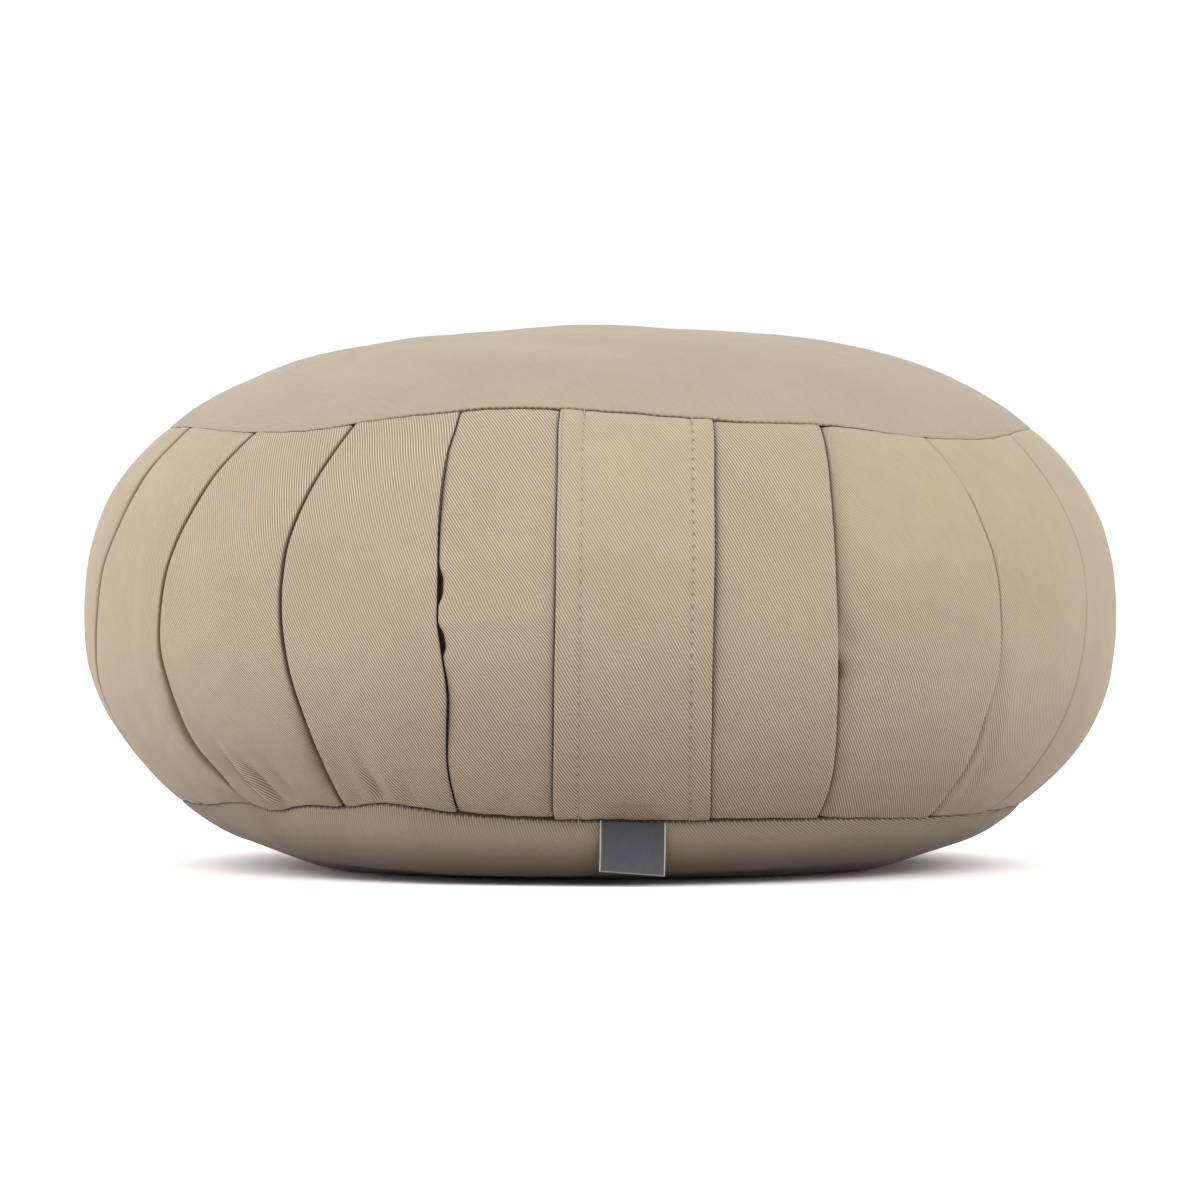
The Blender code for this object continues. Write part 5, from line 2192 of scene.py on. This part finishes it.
@dataclass
class Studio:
    """Pale floor, soft lamps and the camera at the photograph's angle."""

    camera_distance: float = 1.55
    camera_height: float = 0.078
    aim_height: float = 0.088
    focal_mm: float = 139.5
    sensor_mm: float = 36.0
    floor_size: float = 60.0
    floor_drop: float = 0.3 * MM  # keeps it clear of the cushion's flat underside
    lamp_aim: float = 0.08
    horizon: float = 1.05         # brightness of the surroundings level with the floor
    zenith: float = 2.15          # and overhead
    tent_tone: str = "#F7FFFA"
    lamps: tuple[SoftLight, ...] = (
        SoftLight("upper_left_lamp", (-1.0, -0.9, 1.1), 0.9, 23.5),
        SoftLight("upper_right_lamp", (1.0, -0.9, 1.1), 0.9, 24.5),
        SoftLight("front_left_lamp", (-0.7, -1.6, 0.35), 0.6, 5.0),
        SoftLight("front_right_lamp", (0.7, -1.6, 0.35), 0.6, 9.5),
        SoftLight("left_lamp", (-1.6, -0.3, 0.5), 0.8, 20.0),
        SoftLight("right_lamp", (1.6, -0.3, 0.5), 0.8, 9.0),
    )

    def build(self) -> None:
        """Set up the floor, the lamps, the world and the camera."""
        scene = bpy.context.scene
        half = self.floor_size / 2
        data = bpy.data.meshes.new("studio_floor")
        corners = [(-half, -half), (half, -half), (half, half), (-half, half)]
        data.from_pydata([(x, y, -self.floor_drop) for x, y in corners], [], [(0, 1, 2, 3)])
        data.materials.append(StudioPaper().make())
        floor = in_scene("studio_floor", data)
        for lamp in self.lamps:
            light = bpy.data.lights.new(lamp.name, "AREA")
            light.shape, light.size, light.energy = "SQUARE", lamp.size, lamp.power
            self._stand(light, lamp.place, self.lamp_aim).visible_camera = False
        view = bpy.data.cameras.new("camera")
        view.lens, view.sensor_width = self.focal_mm, self.sensor_mm
        view.clip_start, view.clip_end = 0.05, 200.0
        spot = (0.0, -self.camera_distance, self.camera_height)
        scene.camera = self._stand(view, spot, self.aim_height)
        scene.world = self._sky()
        scene.view_settings.view_transform = "Standard"

    def _sky(self) -> bpy.types.World:
        """Make the surroundings: just white round the horizon, brighter overhead.

        Returns:
            The world.
        """
        world = bpy.data.worlds.new("light_tent")
        world.use_nodes = True
        tree = world.node_tree
        tree.nodes.clear()
        node = partial(add_node, tree)
        direction = node("ShaderNodeTexCoord", out="Generated")
        up = node("ShaderNodeSeparateXYZ", {0: direction}, out=2)
        glow = node("ShaderNodeMapRange", {
            0: up, 1: 0.05, 2: 0.95, 3: self.horizon, 4: self.zenith,
        }, interpolation_type="SMOOTHSTEP")
        tone = node("ShaderNodeMix", {
            0: up, 6: to_linear("#FFFFFF"), 7: to_linear(self.tent_tone),
        }, out=2, data_type="RGBA")
        sky = node("ShaderNodeBackground", {0: tone, 1: glow})
        node("ShaderNodeOutputWorld", {"Surface": sky})
        return world

    @staticmethod
    def _stand(data: bpy.types.ID, place: Sequence[float], aim_height: float) -> Object:
        """Put a lamp or camera in its place.

        Args:
            data: The lamp or camera.
            place: Where it stands.
            aim_height: Height above the cushion's middle at which it points.

        Returns:
            Its object.
        """
        item = in_scene(data.name, data)
        item.location = place
        toward = Vector((0.0, 0.0, aim_height)) - Vector(place)
        item.rotation_euler = toward.to_track_quat("-Z", "Y").to_euler()
        return item


# ----------------------------------------------------------------------------------- assembling
@dataclass
class Cushion:
    """The whole cushion: it builds, dresses and attaches each piece to the body."""

    outline: Outline = field(default_factory=Outline)

    def build(self) -> None:
        """Build every piece in order."""
        relief = Relief(self.outline)
        band = PleatedBand(self.outline, relief, side_lines())
        band.swell = FillingSimulation(band).run()
        side = band.build(CottonTwill("side_twill").make())
        self.hand_in(side, "pleated_body", "side_twill")
        # the crown's twill is a slightly darker copy of the side's, as painted shade against the light
        # from overhead, with flatter ribs
        crown = CottonTwill("top_twill", crest="#7E7263", valley="#4A4138", contrast=0.35)
        # the underside's twill is a darker copy of the side's as painted shade, with a darker painted
        # shade colour for folds and the floor
        base = CottonTwill(
            "base_twill", crest="#706456", valley="#423A30", contrast=1.0, deep="#2B1D10",
        )
        for place, node, twill in (
            (PanelPlace.TOP, "top_panel", crown), (PanelPlace.BOTTOM, "bottom_panel", base),
        ):
            panel = RoundPanel(self.outline, relief, place)
            piece = panel.build(f"{place.value}_round", twill.make())
            self.hand_in(piece, node, twill.name)
            radius = panel.flat_radius()
        strip = OpeningStrip(band)
        cloth = strip.build(CottonTwill("strip_twill").make())
        stitches = strip.build_stitches(SewingThread().make())
        self.hand_in(cloth, "opening_strip", "strip_twill")
        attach(stitches, BODY)
        log.info("%s: %d faces", stitches.name, len(stitches.data.polygons))
        label = SeamLabel().build(LabelWeave().make())
        self.hand_in(label, "seam_label", "label_weave")

    @staticmethod
    def hand_in(piece: Object, node: str, slot: str) -> None:
        """Ride a piece on the body in place of its CAD node and report it.

        Args:
            piece: The finished piece.
            node: CAD node it stands for.
            slot: Material slot it takes its finish from; not used.
        """
        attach(piece, BODY)
        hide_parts(node)
        log.info("%s: %d faces", piece.name, len(piece.data.polygons))


def main() -> None:
    logging.basicConfig(level=logging.INFO, format="%(name)s %(message)s")
    Cushion().build()
    Studio().build()


if __name__ == "__main__":
    main()
